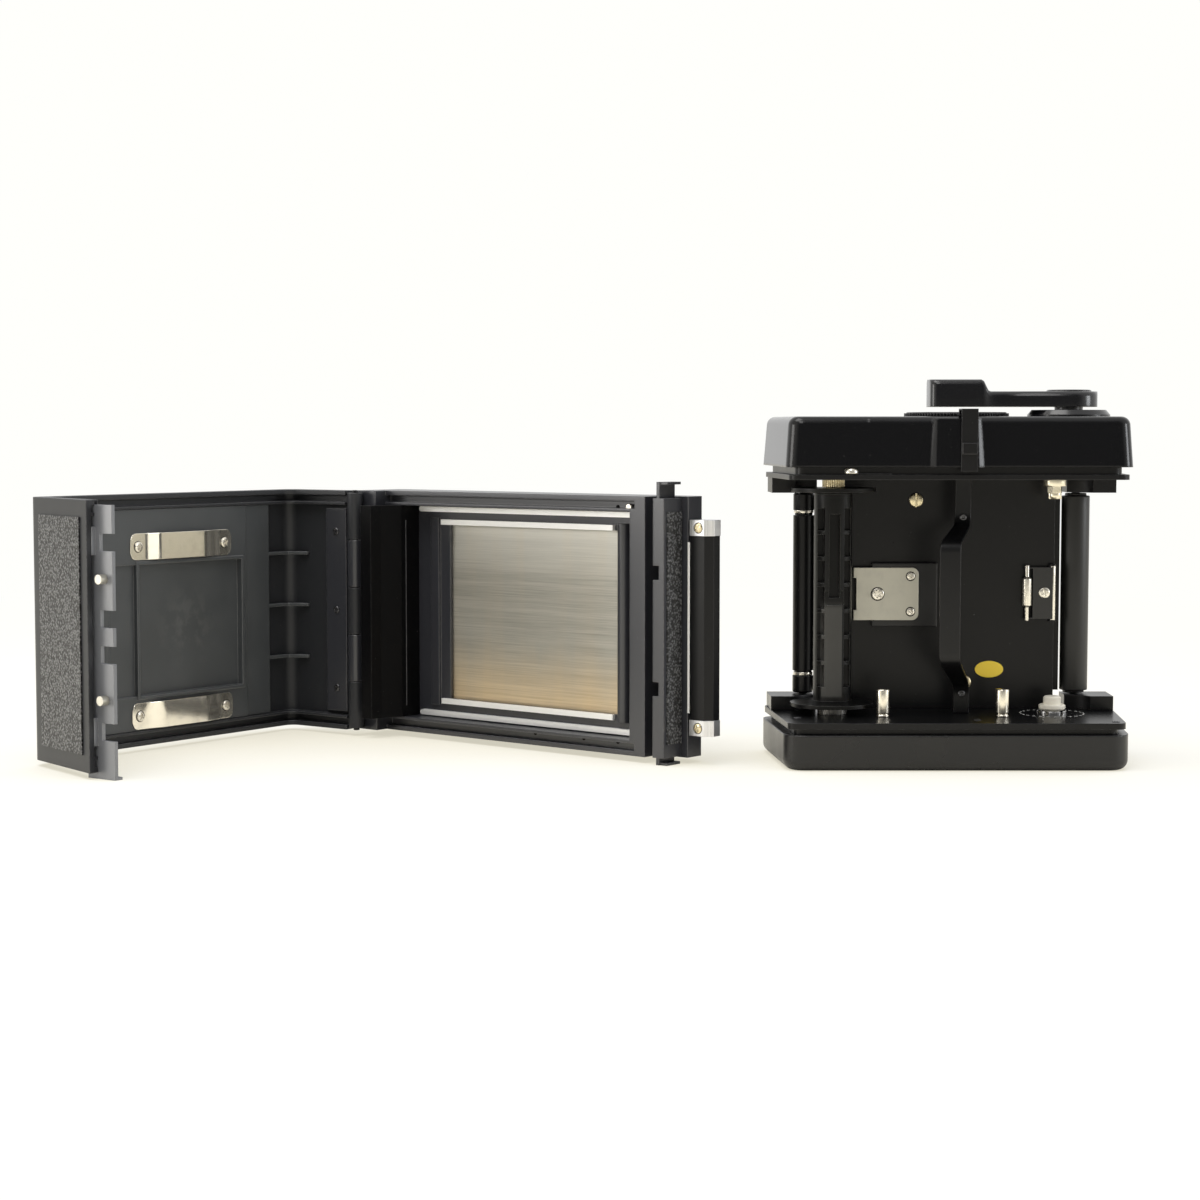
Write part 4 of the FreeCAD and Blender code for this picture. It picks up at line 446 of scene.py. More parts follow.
@dataclass(frozen=True)
class SlideSheet(Brushed):
    """Brushed steel of the dark slide, with a painted warm reflection of the floor towards its foot and a painted
    pale reflection of the room towards its head.
    """

    # Painted reflections: the two warm colours paint the floor's reflection towards the foot, the pale colour
    # after them the bright room's reflection towards the head; the upright bands vary the floor reflection.
    warm: Colour = (0.8, 0.62, 0.38)
    warm_dark: Colour = (0.64, 0.48, 0.28)
    painted_room_reflection: Colour = (0.74, 0.73, 0.68)
    foot: Span = (9.0, 36.0)
    floor_reflection_share: float = 0.85
    head: Span = (48.0, 74.0)
    room_reflection_share: float = 0.6
    streak_span: Span = (0.3, 0.7)
    upright_mm: float = 7.0
    upright_stretch: float = 12.0
    upright_share: float = 0.4

    def surface(self, graph: Graph) -> dict[str, Term]:
        """Brush marks, a painted warm floor reflection at the foot, a painted pale reflection of the room at the
        head, and slow upright bands in the floor reflection.

        Args:
            graph: The material's node tree.

        Returns:
            A term for each socket that varies.
        """
        inputs = super().surface(graph)
        where = graph.place()
        _, _, level = graph.parts(where)
        marks = graph.noise(self.drawn(graph), self.mark_mm * 2, 4.0, 0.7).ramp(*self.streak_span)
        bands = graph.stretched(where, Vector((0, 0, 1)), Vector(self.along), self.upright_stretch)
        upright = graph.noise(bands, self.upright_mm)
        # painted reflections: the floor's towards the foot, the bright room's towards the head, varied by slow
        # upright bands
        foot = 1 - level.ramp(self.foot[0] * MM, self.foot[1] * MM)
        head = level.ramp(self.head[0] * MM, self.head[1] * MM)
        floor_reflection_mask = (foot * self.floor_reflection_share + (upright - 0.5) * self.upright_share).clipped()
        floor_reflected_colour = graph.blend(marks, self.warm_dark, self.warm)
        plain = graph.blend(head * self.room_reflection_share, inputs["Base Color"], self.painted_room_reflection)
        return {**inputs, "Base Color": graph.blend(floor_reflection_mask, plain, floor_reflected_colour)}


@dataclass(frozen=True)
class Plated(Finish):
    """Plated or turned metal with faint ripples and darker tarnish in patches."""

    tarnish: Colour = (0.35, 0.34, 0.32)
    amount: float = 0.35
    patch_mm: float = 3.2
    patch_span: Span = (0.42, 0.72)
    patch_dulling: float = 0.08
    ripple_mm: float = 0.35
    ripple_depth_mm: float = 0.004
    ripple_gloss: float = 0.12

    def surface(self, graph: Graph) -> dict[str, Term]:
        """Tarnish, smudges and a soft ripple.

        Args:
            graph: The material's node tree.

        Returns:
            A term for each socket that varies.
        """
        where = graph.place()
        normal, edge = graph.rounded_edges(self.edge_mm)
        patches = graph.noise(where, self.patch_mm, 4.0, 0.6).ramp(*self.patch_span)
        fine = graph.noise(where, self.ripple_mm, 3.0)
        tarnished = patches * self.amount * (1 - edge)
        rough = self.roughness + (fine - 0.5) * self.ripple_gloss + patches * self.patch_dulling
        return {
            "Base Color": graph.blend(tarnished, self.colour, self.tarnish),
            "Roughness": rough.clipped(),
            "Normal": graph.bump(fine, self.ripple_depth_mm, normal),
        }


@dataclass(frozen=True)
class Pile(Finish):
    """Short black pile that keeps light out."""

    tuft_mm: float = 0.22
    depth_mm: float = 0.12
    tip_span: Span = (0.3, 0.8)
    tip: Colour = (0.07, 0.07, 0.07)

    def surface(self, graph: Graph) -> dict[str, Term]:
        """Tufts in relief, with paler tips."""
        tufts = graph.noise(graph.place(), self.tuft_mm, 4.0, 0.8)
        return {"Base Color": graph.blend(tufts.ramp(*self.tip_span), self.colour, self.tip),
                "Normal": graph.bump(tufts, self.depth_mm)}


@dataclass(frozen=True)
class SpoolPlastic(Moulding):
    """Spool plastic, matt, with a painted sheen on the lower half of its bar and painted shade on the rest."""

    axis_x: float = -34.9
    half: float = 2.9
    low: float = 19.0
    middle: float = 47.0
    fade: float = 1.5
    foot_fade: float = 1.0
    side_fade: float = 0.3
    # colour of the painted shade above the bar's middle, below its foot and beside the bar
    spool_painted_shade: Colour = (0.003, 0.003, 0.003)

    def surface(self, graph: Graph) -> dict[str, Term]:
        """Grain, with a painted sheen on the lower half of the bar and painted shade elsewhere.

        Args:
            graph: The material's node tree.

        Returns:
            A term for each socket that varies.
        """
        inputs = super().surface(graph)
        across, _, level = graph.parts(graph.place())
        upper = level.ramp((self.middle - self.fade) * MM, (self.middle + self.fade) * MM)
        below = 1 - level.ramp(self.low * MM, (self.low + self.foot_fade) * MM)
        offset = (across - self.axis_x * MM).highest(self.axis_x * MM - across)
        beside = offset.ramp(self.half * MM, (self.half + self.side_fade) * MM)
        _, edge = graph.rounded_edges(self.edge_mm)
        # painted shade everywhere but the lower half of the bar; rounded edges keep their painted highlight
        dark = upper.highest(below).highest(beside) * (1 - edge * self.painted_edge_share)
        return {**inputs, "Base Color": graph.blend(dark, inputs["Base Color"], self.spool_painted_shade)}


@dataclass(frozen=True)
class LinerPlastic(Moulding):
    """Liner plastic with the round witness marks of the mould in its square recess."""

    centre: Place = (0.0, 0.0, 0.0)
    reach: Span = (2.0, 17.0)
    swirl_mm: float = 5.0
    swirl_span: Span = (0.42, 0.62)
    stain_share: float = 0.3
    stain: Colour = (0.13, 0.133, 0.135)

    def surface(self, graph: Graph) -> dict[str, Term]:
        """Grain plus faint clouds round one point.

        Args:
            graph: The material's node tree.

        Returns:
            A term for each socket that varies.
        """
        inputs = super().surface(graph)
        where = graph.place()
        apart = graph.vectors("DISTANCE", where, self.centre)
        near = 1 - apart.ramp(self.reach[0] * MM, self.reach[1] * MM)
        swirl = graph.noise(where, self.swirl_mm, 3.0, 0.6).ramp(*self.swirl_span)
        stained = near * swirl * self.stain_share
        return {**inputs, "Base Color": graph.blend(stained, inputs["Base Color"], self.stain)}


FRAME_X = Vector(next(item["axis"] for item in frame["joints"] if item["name"] == "slide_pull"))
FRAME_TURN = math.degrees(math.atan2(FRAME_X.y, FRAME_X.x))
HINGE = (-183.1, 59.2)
COVER_SWING = 86.2


@dataclass(frozen=True)
class Unit:
    """One unit of the holder with its own drawing frame, in millimetres and degrees."""

    east: float = 0.0
    north: float = 0.0
    turn: float = 0.0

    def matrix(self) -> Matrix:
        """From the unit's millimetres to metres of the whole."""
        seat = Matrix.Translation((self.east * MM, self.north * MM, 0))
        return seat @ Matrix.Rotation(math.radians(self.turn), 4, "Z") @ Matrix.Scale(MM, 4)


INSERT = Unit()
GATE = Unit(*HINGE, FRAME_TURN)
COVER = Unit(*HINGE, FRAME_TURN - COVER_SWING)
MIDDLE = 40.65
RECESS_MIDDLE = Vector((47.2, -28.4, 37.6))


@dataclass
class Finishes:
    """Every finish of the holder."""

    enamel: Enamel = Enamel("black_enamel", "black_metal", (0.004, 0.004, 0.0045), 0.3, specular=0.25,
                            edge_mm=0.35)
    # a lighter copy of the black enamel for the gate frame and latch parts: painted light, with painted highlights
    # on its edges
    lit_casing: Enamel = Enamel("casing_enamel", "black_metal", (0.026, 0.027, 0.033), 0.3, specular=0.75,
                            edge_mm=0.5, edge_wear_and_highlight=(0.17, 0.17, 0.18))
    shell: Enamel = Enamel("cover_enamel", "black_metal", (0.02, 0.021, 0.024), 0.45, specular=0.4,
                           edge_mm=0.5, edge_wear_and_highlight=(0.14, 0.14, 0.15))
    # strap: its very light edge colour is mostly a painted highlight on the edges and tabs
    strap: Enamel = Enamel("strap_enamel", "black_metal", (0.004, 0.004, 0.0045), 0.32, specular=0.3,
                           edge_mm=0.45, edge_wear_and_highlight=(0.5, 0.5, 0.5))
    # catch plate: a much lighter copy of the black enamel, painted light for the bright reflection on it
    plate: Enamel = Enamel("catch_plate_painted_light", "black_metal", (0.14, 0.146, 0.162), 0.36, specular=0.9,
                           edge_wear_and_highlight=(0.3, 0.3, 0.32))
    # a darker copy of the black enamel: painted shade in the roll chamber
    painted_chamber_shade: Enamel = Enamel("chamber_painted_shade", "black_metal", (0.0015, 0.0015, 0.002), 0.5,
                            specular=0.12)
    gloss: Enamel = Enamel("gloss_black", "black_plastic", (0.003, 0.003, 0.0035), 0.16, specular=0.2,
                           coat=0.25, edge_mm=0.9, peel=0.002, haze=0.04, edge_wear_and_highlight=(0.012, 0.012, 0.014))
    lever: Enamel = Enamel("lever_black", "black_metal", (0.004, 0.004, 0.005), 0.22, specular=0.35,
                           coat=0.3, edge_mm=0.45, peel=0.003, haze=0.05, edge_wear_and_highlight=(0.03, 0.03, 0.034))
    sleeve: Enamel = Enamel("roller_sleeve", "black_metal", (0.01, 0.01, 0.0095), 0.42,
                            edge_wear_and_highlight=(0.05, 0.05, 0.05))
    # the edge colours of the mouldings below are painted highlights, but for the label's darker one, which is
    # painted shade
    matte: Moulding = Moulding("matte_black", "black_plastic", (0.006, 0.006, 0.0065), 0.3,
                               specular=0.42, edge_mm=0.7, cast=(0.012, 0.012, 0.013),
                               rim=(0.012, 0.012, 0.013))
    spool: SpoolPlastic = SpoolPlastic("spool_black", "black_plastic", (0.05, 0.049, 0.046), 0.34,
                                       specular=0.2, cast=(0.07, 0.069, 0.066), rim=(0.16, 0.16, 0.15))
    liner: LinerPlastic = LinerPlastic("liner_grey", "liner_plastic", (0.05, 0.054, 0.058), 0.42,
                                       edge_mm=0.5, cast=(0.075, 0.08, 0.084), rim=(0.2, 0.205, 0.21),
                                       centre=tuple(COVER.matrix() @ RECESS_MIDDLE))
    ivory: Moulding = Moulding("ivory", "ivory", (0.84, 0.8, 0.7), 0.32, cast=(0.72, 0.66, 0.52),
                               rim=(0.9, 0.87, 0.78))
    yellow: Moulding = Moulding("label_yellow", "ivory", (0.98, 0.72, 0.06), 0.4, grain_mm=0.3,
                                depth_mm=0.002, cast=(0.94, 0.66, 0.05), rim=(0.9, 0.62, 0.05))
    leatherette: Leatherette = Leatherette("leatherette", "leatherette", (0.006, 0.006, 0.0065), 0.5)
    felt: Pile = Pile("felt", "felt", (0.008, 0.008, 0.008), 0.95)
    slide: SlideSheet = SlideSheet("slide_steel", "slide_steel", (0.56, 0.54, 0.48), 0.4, metallic=0.55,
                                   along=tuple(FRAME_X), dark=(0.34, 0.328, 0.29), mark_mm=0.3,
                                   band=(0.25, 0.72))
    clip: Brushed = Brushed("clip_chrome", "chrome", (0.84, 0.84, 0.85), 0.3, metallic=0.9,
                            along=(0.0, 0.0, 1.0), across=tuple(FRAME_X), dark=(0.6, 0.6, 0.62))
    chrome: Plated = Plated("chrome", "chrome", (0.8, 0.8, 0.8), 0.16, metallic=1.0, amount=0.2)
    dull: Plated = Plated("dull_nickel", "chrome", (0.3, 0.29, 0.27), 0.42, metallic=1.0)
    nickel: Plated = Plated("nickel", "nickel", (0.8, 0.76, 0.67), 0.24, metallic=0.85, amount=0.15)
    pins: Plated = Plated("pin_nickel", "nickel", (0.5, 0.48, 0.42), 0.34, metallic=0.8, amount=0.0)
    posts: Plated = Plated("post_nickel", "nickel", (0.84, 0.79, 0.68), 0.2, metallic=1.0, amount=0.0)
    satin: Plated = Plated("press_nickel", "nickel", (0.5, 0.485, 0.42), 0.4, metallic=0.75,
                           amount=0.15)
    mirror: Plated = Plated("spring_nickel", "nickel", (0.9, 0.86, 0.76), 0.07, metallic=0.9,
                            amount=0.1)
    brass: Plated = Plated("pale_brass", "brass", (0.84, 0.78, 0.62), 0.22, metallic=0.9,
                           tarnish=(0.5, 0.42, 0.28))
    gilt: Plated = Plated("screw_gilt", "black_screw", (0.72, 0.63, 0.42), 0.26, metallic=1.0,
                          tarnish=(0.36, 0.28, 0.16))
    screw: Plated = Plated("black_screw", "black_screw", (0.1, 0.1, 0.105), 0.34, metallic=1.0,
                           tarnish=(0.03, 0.03, 0.03))
    rail: Finish = Finish("rail_bright", "bright_rail", (0.98, 0.98, 0.97), 0.34, metallic=0.35,
                          edge_mm=0.15)
    # painted shade: flat dark discs and rings where holes and the gap round screw heads lie in shade
    void: Finish = Finish("recess_painted_shade", "black_screw", (0.002, 0.002, 0.002), 0.7, specular=0.1)
    ink: Finish = Finish("marking_white", "ivory", (0.8, 0.8, 0.77), 0.5)

    def by_slot(self) -> dict[str, Finish]:
        """The finish that each slot of the record gets where a node has none of its own.

        Returns:
            A finish by the slot's name.
        """
        return {
            "black_metal": self.enamel, "liner_plastic": self.liner, "leatherette": self.leatherette,
            "slide_steel": self.slide, "bright_rail": self.rail, "chrome": self.chrome,
            "nickel": self.nickel, "ivory": self.ivory, "brass": self.brass, "felt": self.felt,
            "black_plastic": self.spool, "black_screw": self.screw,
        }

    def by_node(self) -> dict[str, Finish]:
        """Nodes whose finish differs from their slot's usual one.

        Returns:
            A finish by the node's name.
        """
        return {
            "top_housing": self.gloss, "base_housing": self.matte, "lever_disc": self.lever,
            "handle_clips": self.clip, "spring_pad": self.matte, "catch_plate": self.plate,
            "gate_frame": self.lit_casing, "latch_end_plate": self.lit_casing, "latch_bar": self.lit_casing,
            "slide_slot_block": self.lit_casing, "cover_shell": self.shell, "hinge_strip": self.lit_casing,
            "chamber_wall": self.painted_chamber_shade, "film_press": self.satin, "take_up_peg": self.dull,
            "catch_pins": self.pins, "take_up_gear": self.gilt,
            "slide_handle": self.enamel, "release_clip": self.enamel,
        }


# Mesh building


def polar(radius: float, angle: float) -> Point:
    """A point at a distance and angle from the middle."""
    return radius * math.cos(angle), radius * math.sin(angle)


def rectangle(left: float, low: float, right: float, high: float) -> list[Point]:
    """The outline of a rectangle, counter-clockwise."""
    return [(left, low), (right, low), (right, high), (left, high)]


def toothed(count: int, tooth: Sequence[Point]) -> list[Point]:
    """An outline of equal teeth, each given by shares of the pitch and their radii."""
    return [polar(radius, FULL_TURN * (number + share) / count)
            for number in range(count) for share, radius in tooth]


def round_rectangle(width: float, height: float, radius: float, steps: int) -> list[Point]:
    """The outline of a rectangle with round corners, about its middle.

    Args:
        width: Full width.
        height: Full height.
        radius: Corner radius.
        steps: Pieces of each corner.

    Returns:
        The outline, counter-clockwise.
    """
    points = []
    for number, (side, level) in enumerate(((1, 1), (-1, 1), (-1, -1), (1, -1))):
        for step in range(steps + 1):
            x, y = polar(radius, math.radians(90 * number + 90 * step / steps))
            points.append((side * (width / 2 - radius) + x, level * (height / 2 - radius) + y))
    return points


def rounded_profile(profile: Sequence[Point], radius: float, steps: int = 3) -> list[Point]:
    """Round the corners of a profile, but for its two ends.

    Args:
        profile: Corners of the profile.
        radius: Radius of the rounding.
        steps: Pieces of each rounded corner.

    Returns:
        The profile with rounded corners.
    """
    result = [profile[0]]
    for before, corner, after in zip(profile, profile[1:], profile[2:]):
        here = Vector(corner)
        back, ahead = Vector(before) - here, Vector(after) - here
        reach = min(radius, back.length * 0.45, ahead.length * 0.45)
        start, end = here + back.normalized() * reach, here + ahead.normalized() * reach
        for step in range(steps + 1):
            share = step / steps
            result.append(tuple(start.lerp(here, share).lerp(here.lerp(end, share), share)))
    result.append(profile[-1])
    return result


def eased(value: float) -> float:
    """A smooth step for a value that is first held between 0 and 1."""
    share = min(max(value, 0.0), 1.0)
    return share * share * (3 - 2 * share)


def turned(profile: Sequence[Point], sides: int) -> Mesh:
    """Turn a profile about its Z axis.

    Args:
        profile: Radius and height of each corner, from the foot to the top.
        sides: Number of steps round the axis.

    Returns:
        The closed mesh.
    """
    mesh = bmesh.new()
    rings = []
    for radius, height in profile:
        spots = [(0.0, 0.0)]
        if radius >= ON_AXIS:
            spots = [polar(radius, FULL_TURN * step / sides) for step in range(sides)]
        rings.append([mesh.verts.new((*spot, height)) for spot in spots])
    for low, high in zip(rings, rings[1:]):
        for step in range(sides):
            after = (step + 1) % sides
            corners = (low[step % len(low)], low[after % len(low)],
                       high[after % len(high)], high[step % len(high)])
            distinct = list(dict.fromkeys(corners))
            if len(distinct) > 2:
                mesh.faces.new(distinct)
    for ring in (rings[0], rings[-1]):
        if len(ring) > 2:
            mesh.faces.new(ring)
    bmesh.ops.recalc_face_normals(mesh, faces=mesh.faces)
    return mesh


def lofted(sections: Sequence[Sequence[Place]]) -> Mesh:
    """Join closed sections into one piece with flat ends.

    Args:
        sections: The corners of each section, the same number in each.

    Returns:
        The closed mesh.
    """
    mesh = bmesh.new()
    lines = [[mesh.verts.new(corner) for corner in section] for section in sections]
    for first, second in zip(lines, lines[1:]):
        for corner in range(len(first)):
            after = (corner + 1) % len(first)
            mesh.faces.new((first[corner], first[after], second[after], second[corner]))
    mesh.faces.new(lines[0])
    mesh.faces.new(list(reversed(lines[-1])))
    bmesh.ops.recalc_face_normals(mesh, faces=mesh.faces)
    return mesh


def slab(outline: Sequence[Point], low: float, high: float) -> Mesh:
    """A flat piece with a closed outline, between two levels."""
    return lofted([[(x, y, level) for x, y in outline] for level in (low, high)])


def merged(parts: Iterable[Mesh]) -> Mesh:
    """Put several meshes into one.

    Args:
        parts: The meshes, which are used up.

    Returns:
        The mesh of all of them.
    """
    whole = bmesh.new()
    for part in parts:
        holder = bpy.data.meshes.new("part")
        part.to_mesh(holder)
        part.free()
        whole.from_mesh(holder)
        bpy.data.meshes.remove(holder)
    return whole


def moved(mesh: Mesh, where: Matrix) -> Mesh:
    """A mesh set in another place."""
    bmesh.ops.transform(mesh, matrix=where, verts=mesh.verts)
    return mesh


def shifted(mesh: Mesh, x: float, y: float, z: float) -> Mesh:
    """A mesh moved without turning."""
    return moved(mesh, Matrix.Translation((x, y, z)))


def seat(place: Place, direction: Direction, spin: float = 0.0) -> Matrix:
    """From a piece built along Z at zero to its own place and direction."""
    turn = Vector(direction.value).to_track_quat("Z", "Y").to_matrix().to_4x4()
    return Matrix.Translation(place) @ (turn @ Matrix.Rotation(math.radians(spin), 4, "Z"))


def placed(name: str, data: bpy.types.ID) -> bpy.types.Object:
    """A new object of the scene that shows some data.

    Args:
        name: Name of the object.
        data: Its mesh, writing, lamp or camera.

    Returns:
        The object.
    """
    item = bpy.data.objects.new(name, data)
    bpy.context.scene.collection.objects.link(item)
    return item


def worked_out(item: bpy.types.Object) -> bpy.types.Mesh:
    """The mesh of an object after its modifiers, or of its writing."""
    bpy.context.view_layer.update()
    return bpy.data.meshes.new_from_object(item.evaluated_get(bpy.context.evaluated_depsgraph_get()))


@dataclass
class Bench:
    """Turns meshes into pieces that ride on the bodies of the frame."""

    finishes: Finishes
    recess_edge: float = 35.0
    made: list[str] = field(default_factory=list)

    def piece(self, name: str, mesh: Mesh, unit: Unit, finish: Finish, body: str,
              stands_for: Sequence[str] = (), round_mm: float = 0.0, steps: int = 2,
              angle: float = 40.0) -> bpy.types.Object:
        """Make one piece out of a mesh drawn in a unit's millimetres.

        Args:
            name: Name of the piece.
            mesh: The mesh, which is used up.
            unit: The unit it is drawn in.
            finish: Its finish.
            body: The body that it rides on.
            stands_for: Nodes of the frame that it replaces.
            round_mm: Radius of its rounded edges, or 0 for none.
            steps: Pieces of each rounded edge.
            angle: Edges sharper than this are rounded and kept crisp.

        Returns:
            The piece as an object.
        """
        data = bpy.data.meshes.new(name)
        moved(mesh, unit.matrix()).to_mesh(data)
        mesh.free()
        item = placed(name, data)
        data.materials.append(finish.material())
        if round_mm > 0:
            bevel = item.modifiers.new("rounding", "BEVEL")
            bevel.width = round_mm * MM
            bevel.segments = steps
            bevel.limit_method = "ANGLE"
            bevel.angle_limit = math.radians(angle)
            bevel.use_clamp_overlap = True
            bevel.harden_normals = True
        data.shade_smooth()
        data.set_sharp_from_angle(angle=math.radians(angle))
        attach(item, body)
        if stands_for:
            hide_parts(*stands_for)
        self.made.append(name)
        return item

    def carve(self, item: bpy.types.Object, space: Mesh, unit: Unit) -> None:
        """Cut a space out of a piece.

        Args:
            item: The piece, in metres.
            space: Mesh of the space in the unit's millimetres, which is used up.
            unit: The unit it is drawn in.
        """
        data = bpy.data.meshes.new("space")
        moved(space, unit.matrix())
        bmesh.ops.recalc_face_normals(space, faces=space.faces)
        space.to_mesh(data)
        space.free()
        tool = placed("space", data)
        modifier = item.modifiers.new("space", "BOOLEAN")
        modifier.operation = "DIFFERENCE"
        modifier.solver = "EXACT"
        modifier.object = tool
        result = worked_out(item)
        item.modifiers.remove(modifier)
        item.data = result
        bpy.data.objects.remove(tool)
        result.shade_smooth()
        result.set_sharp_from_angle(angle=math.radians(self.recess_edge))


@dataclass
class ScrewSet:
    """A group of screws with the same head, drawn in one unit.

    The form of the head and its recess is given in shares of the head's radius and height.
    """

    name: str
    unit: Unit
    body: str
    finish: Finish
    places: Sequence[Place]
    direction: Direction
    radius: float
    height: float
    recess: Recess = Recess.SLOT
    stands_for: Sequence[str] = ()
    first_spin: float = 20.0
    spin_step: float = 47.0
    shade_ring_reach: float = 0.0
    shade_ring_height: float = 0.02
    shade_ring_inside: float = 0.8
    sides: int = 40
    dome: float = 0.35
    shoulder: float = 0.93
    bevel_start: float = 0.7
    recess_depth: float = 0.62
    arm_reach: float = 0.62
    arm_half: float = 0.13
    slot_reach: float = 1.2

    def head(self) -> Mesh:
        """A head that points up, before its driver recess is cut.

        Returns:
            The closed mesh.
        """
        dome, shoulder = self.height * self.dome, self.radius * self.shoulder
        rim = self.height - dome
        profile = [(0.0, 0.0), (self.radius, 0.0), (self.radius, rim * self.bevel_start), (shoulder, rim)]
        for step in range(1, 5):
            across, rise = polar(1, step / 5 * math.pi / 2)
            profile.append((shoulder * across, rim + dome * rise))
        return turned([*profile, (0.0, self.height)], self.sides)

    def space(self) -> Mesh:
        """The space of the driver recess, for a head that points up.

        Returns:
            The mesh of the space.
        """
        floor, roof = self.height * (1 - self.recess_depth), self.height + 1
        half = self.radius * self.arm_half
        if self.recess is Recess.SLOT:
            reach = self.radius * self.slot_reach
            return slab(rectangle(-reach, -half, reach, half), floor, roof)
        arms, reach = self.recess.value, self.radius * self.arm_reach
        corner = half / math.sin(math.pi / arms)
        outline = []
        for number in range(arms):
            turn = Matrix.Rotation(FULL_TURN * number / arms, 2)
            outline += [tuple(turn @ Vector((reach, side))) for side in (-half, half)]
            outline.append(polar(corner, FULL_TURN * (number + 0.5) / arms))
        return slab(outline, floor, roof)

    def painted_shade_rings(self, bench: Bench, seats: Sequence[Matrix]) -> None:
        """A flat dark ring of painted shade round each countersunk head, where its gap lies in shade.

        Args:
            bench: Where pieces are made.
            seats: Place and direction of each head.
        """
        profile = rectangle(self.radius * self.shade_ring_inside, 0.0, self.radius + self.shade_ring_reach,
                            self.shade_ring_height)
        rings = [moved(turned(profile, self.sides), where) for where in seats]
        bench.piece(self.name + "_gaps", merged(rings), self.unit, bench.finishes.void, self.body)

    def build(self, bench: Bench) -> None:
        """Make each screw, with its recess at an angle of its own.

        Args:
            bench: Where pieces are made.
        """
        seats = [seat(place, self.direction, self.first_spin + self.spin_step * number)
                 for number, place in enumerate(self.places)]
        for number, where in enumerate(seats, 1):
            item = bench.piece("%s_%d" % (self.name, number), moved(self.head(), where), self.unit,
                               self.finish, self.body, self.stands_for if number == 1 else (), angle=50)
            bench.carve(item, moved(self.space(), where), self.unit)
        # flat rings of painted shade round the heads
        if self.shade_ring_reach > 0:
            self.painted_shade_rings(bench, seats)


@dataclass
class FrameFinishing:
    """Gives every carried-over node of the frame its finish."""

    finishes: Finishes

    def dress(self) -> None:
        """Assign a material to each node's slots by the record's slot names."""
        slots = {row["node"]: row["material_slot"] for row in frame["record"]["subparts"]}
        usual, special = self.finishes.by_slot(), self.finishes.by_node()
        for name, item in frame["nodes"].items():
            material = special.get(name, usual[slots[name]]).material()
            if not item.material_slots:
                item.data.materials.append(material)
            for entry in item.material_slots:
                entry.material = material


@dataclass
class CoverDetails:
    """Springs, hinge rod and screws of the hinged cover."""

    liner_face: float = -27.0
    spring_start: float = 29.4
    spring_length: float = 43.6
    spring_width: float = 8.2
    spring_thick: float = 0.4
    spring_bow: float = 1.3
    spring_foot: float = 5.2
    spring_rise: float = 0.3
    spring_corner: float = 2.4
    spring_rows: int = 56
    spring_levels: Span = (11.05, 63.3)
    screw_inset: float = 3.2
    rod_radius: float = 1.0
    rod_edge: float = 0.3
    rod_low: float = 1.7
    rod_high: float = 79.6
    strip_face: float = 0.9
    strip_deep: float = -7.5
    strip_pitch: float = 25.5

    def lift(self, inward: float) -> float:
        """Height of the strip above the liner at one distance from its end."""
        run = self.spring_length * self.spring_rise - self.spring_foot
        return self.spring_bow * eased((inward - self.spring_foot) / run)

    def half_width(self, inward: float) -> float:
        """Half width of the strip, round at its ends.

        Args:
            inward: Distance from the strip's end.

        Returns:
            The half width there.
        """
        half, radius = self.spring_width / 2, self.spring_corner
        if inward >= radius:
            return half
        return half - radius + math.sqrt(max(radius ** 2 - (radius - inward) ** 2, 0.01))

    def spring(self, level: float) -> Mesh:
        """One leaf spring: flat round-ended feet and a raised flat middle.

        Args:
            level: Height of the spring's middle line.

        Returns:
            The closed mesh.
        """
        sections = []
        for row in range(self.spring_rows + 1):
            along = self.spring_start + self.spring_length * (row / self.spring_rows)
            inward = min(along - self.spring_start, self.spring_start + self.spring_length - along)
            low, half = self.liner_face + self.lift(inward), self.half_width(inward)
            high = low + self.spring_thick
            sections.append([(along, low, level - half), (along, high, level - half),
                             (along, high, level + half), (along, low, level + half)])
        return lofted(sections)

    def build(self, bench: Bench) -> None:
        """Make all details of the cover.

        Args:
            bench: Where pieces are made.
        """
        finishes = bench.finishes
        springs = merged([self.spring(level) for level in self.spring_levels])
        bench.piece("polished_springs", springs, COVER, finishes.mirror, "cover", ["leaf_springs"],
                    round_mm=0.08, angle=50)
        face = self.liner_face + self.spring_thick
        ends = (self.spring_start + self.screw_inset,
                self.spring_start + self.spring_length - self.screw_inset)
        places = [(along, face, level) for level in self.spring_levels for along in ends]
        ScrewSet("spring_screw", COVER, "cover", finishes.nickel, places, Direction.AWAY, 1.6, 0.7,
                 Recess.CROSS, ["leaf_spring_screws"], shade_ring_reach=0.2).build(bench)
        rod = rounded_profile(rectangle(0, self.rod_low, self.rod_radius, self.rod_high), self.rod_edge)
        bench.piece("hinge_rod", turned(rod, 32), GATE, finishes.enamel, "holder", ["hinge_pin"])
        places = [(self.strip_face, self.strip_deep, MIDDLE + self.strip_pitch * number)
                  for number in (-1, 0, 1)]
        ScrewSet("strip_screw", COVER, "cover", finishes.screw, places, Direction.RIGHT, 1.2, 0.5,
                 Recess.CROSS, ["hinge_strip_screws"]).build(bench)


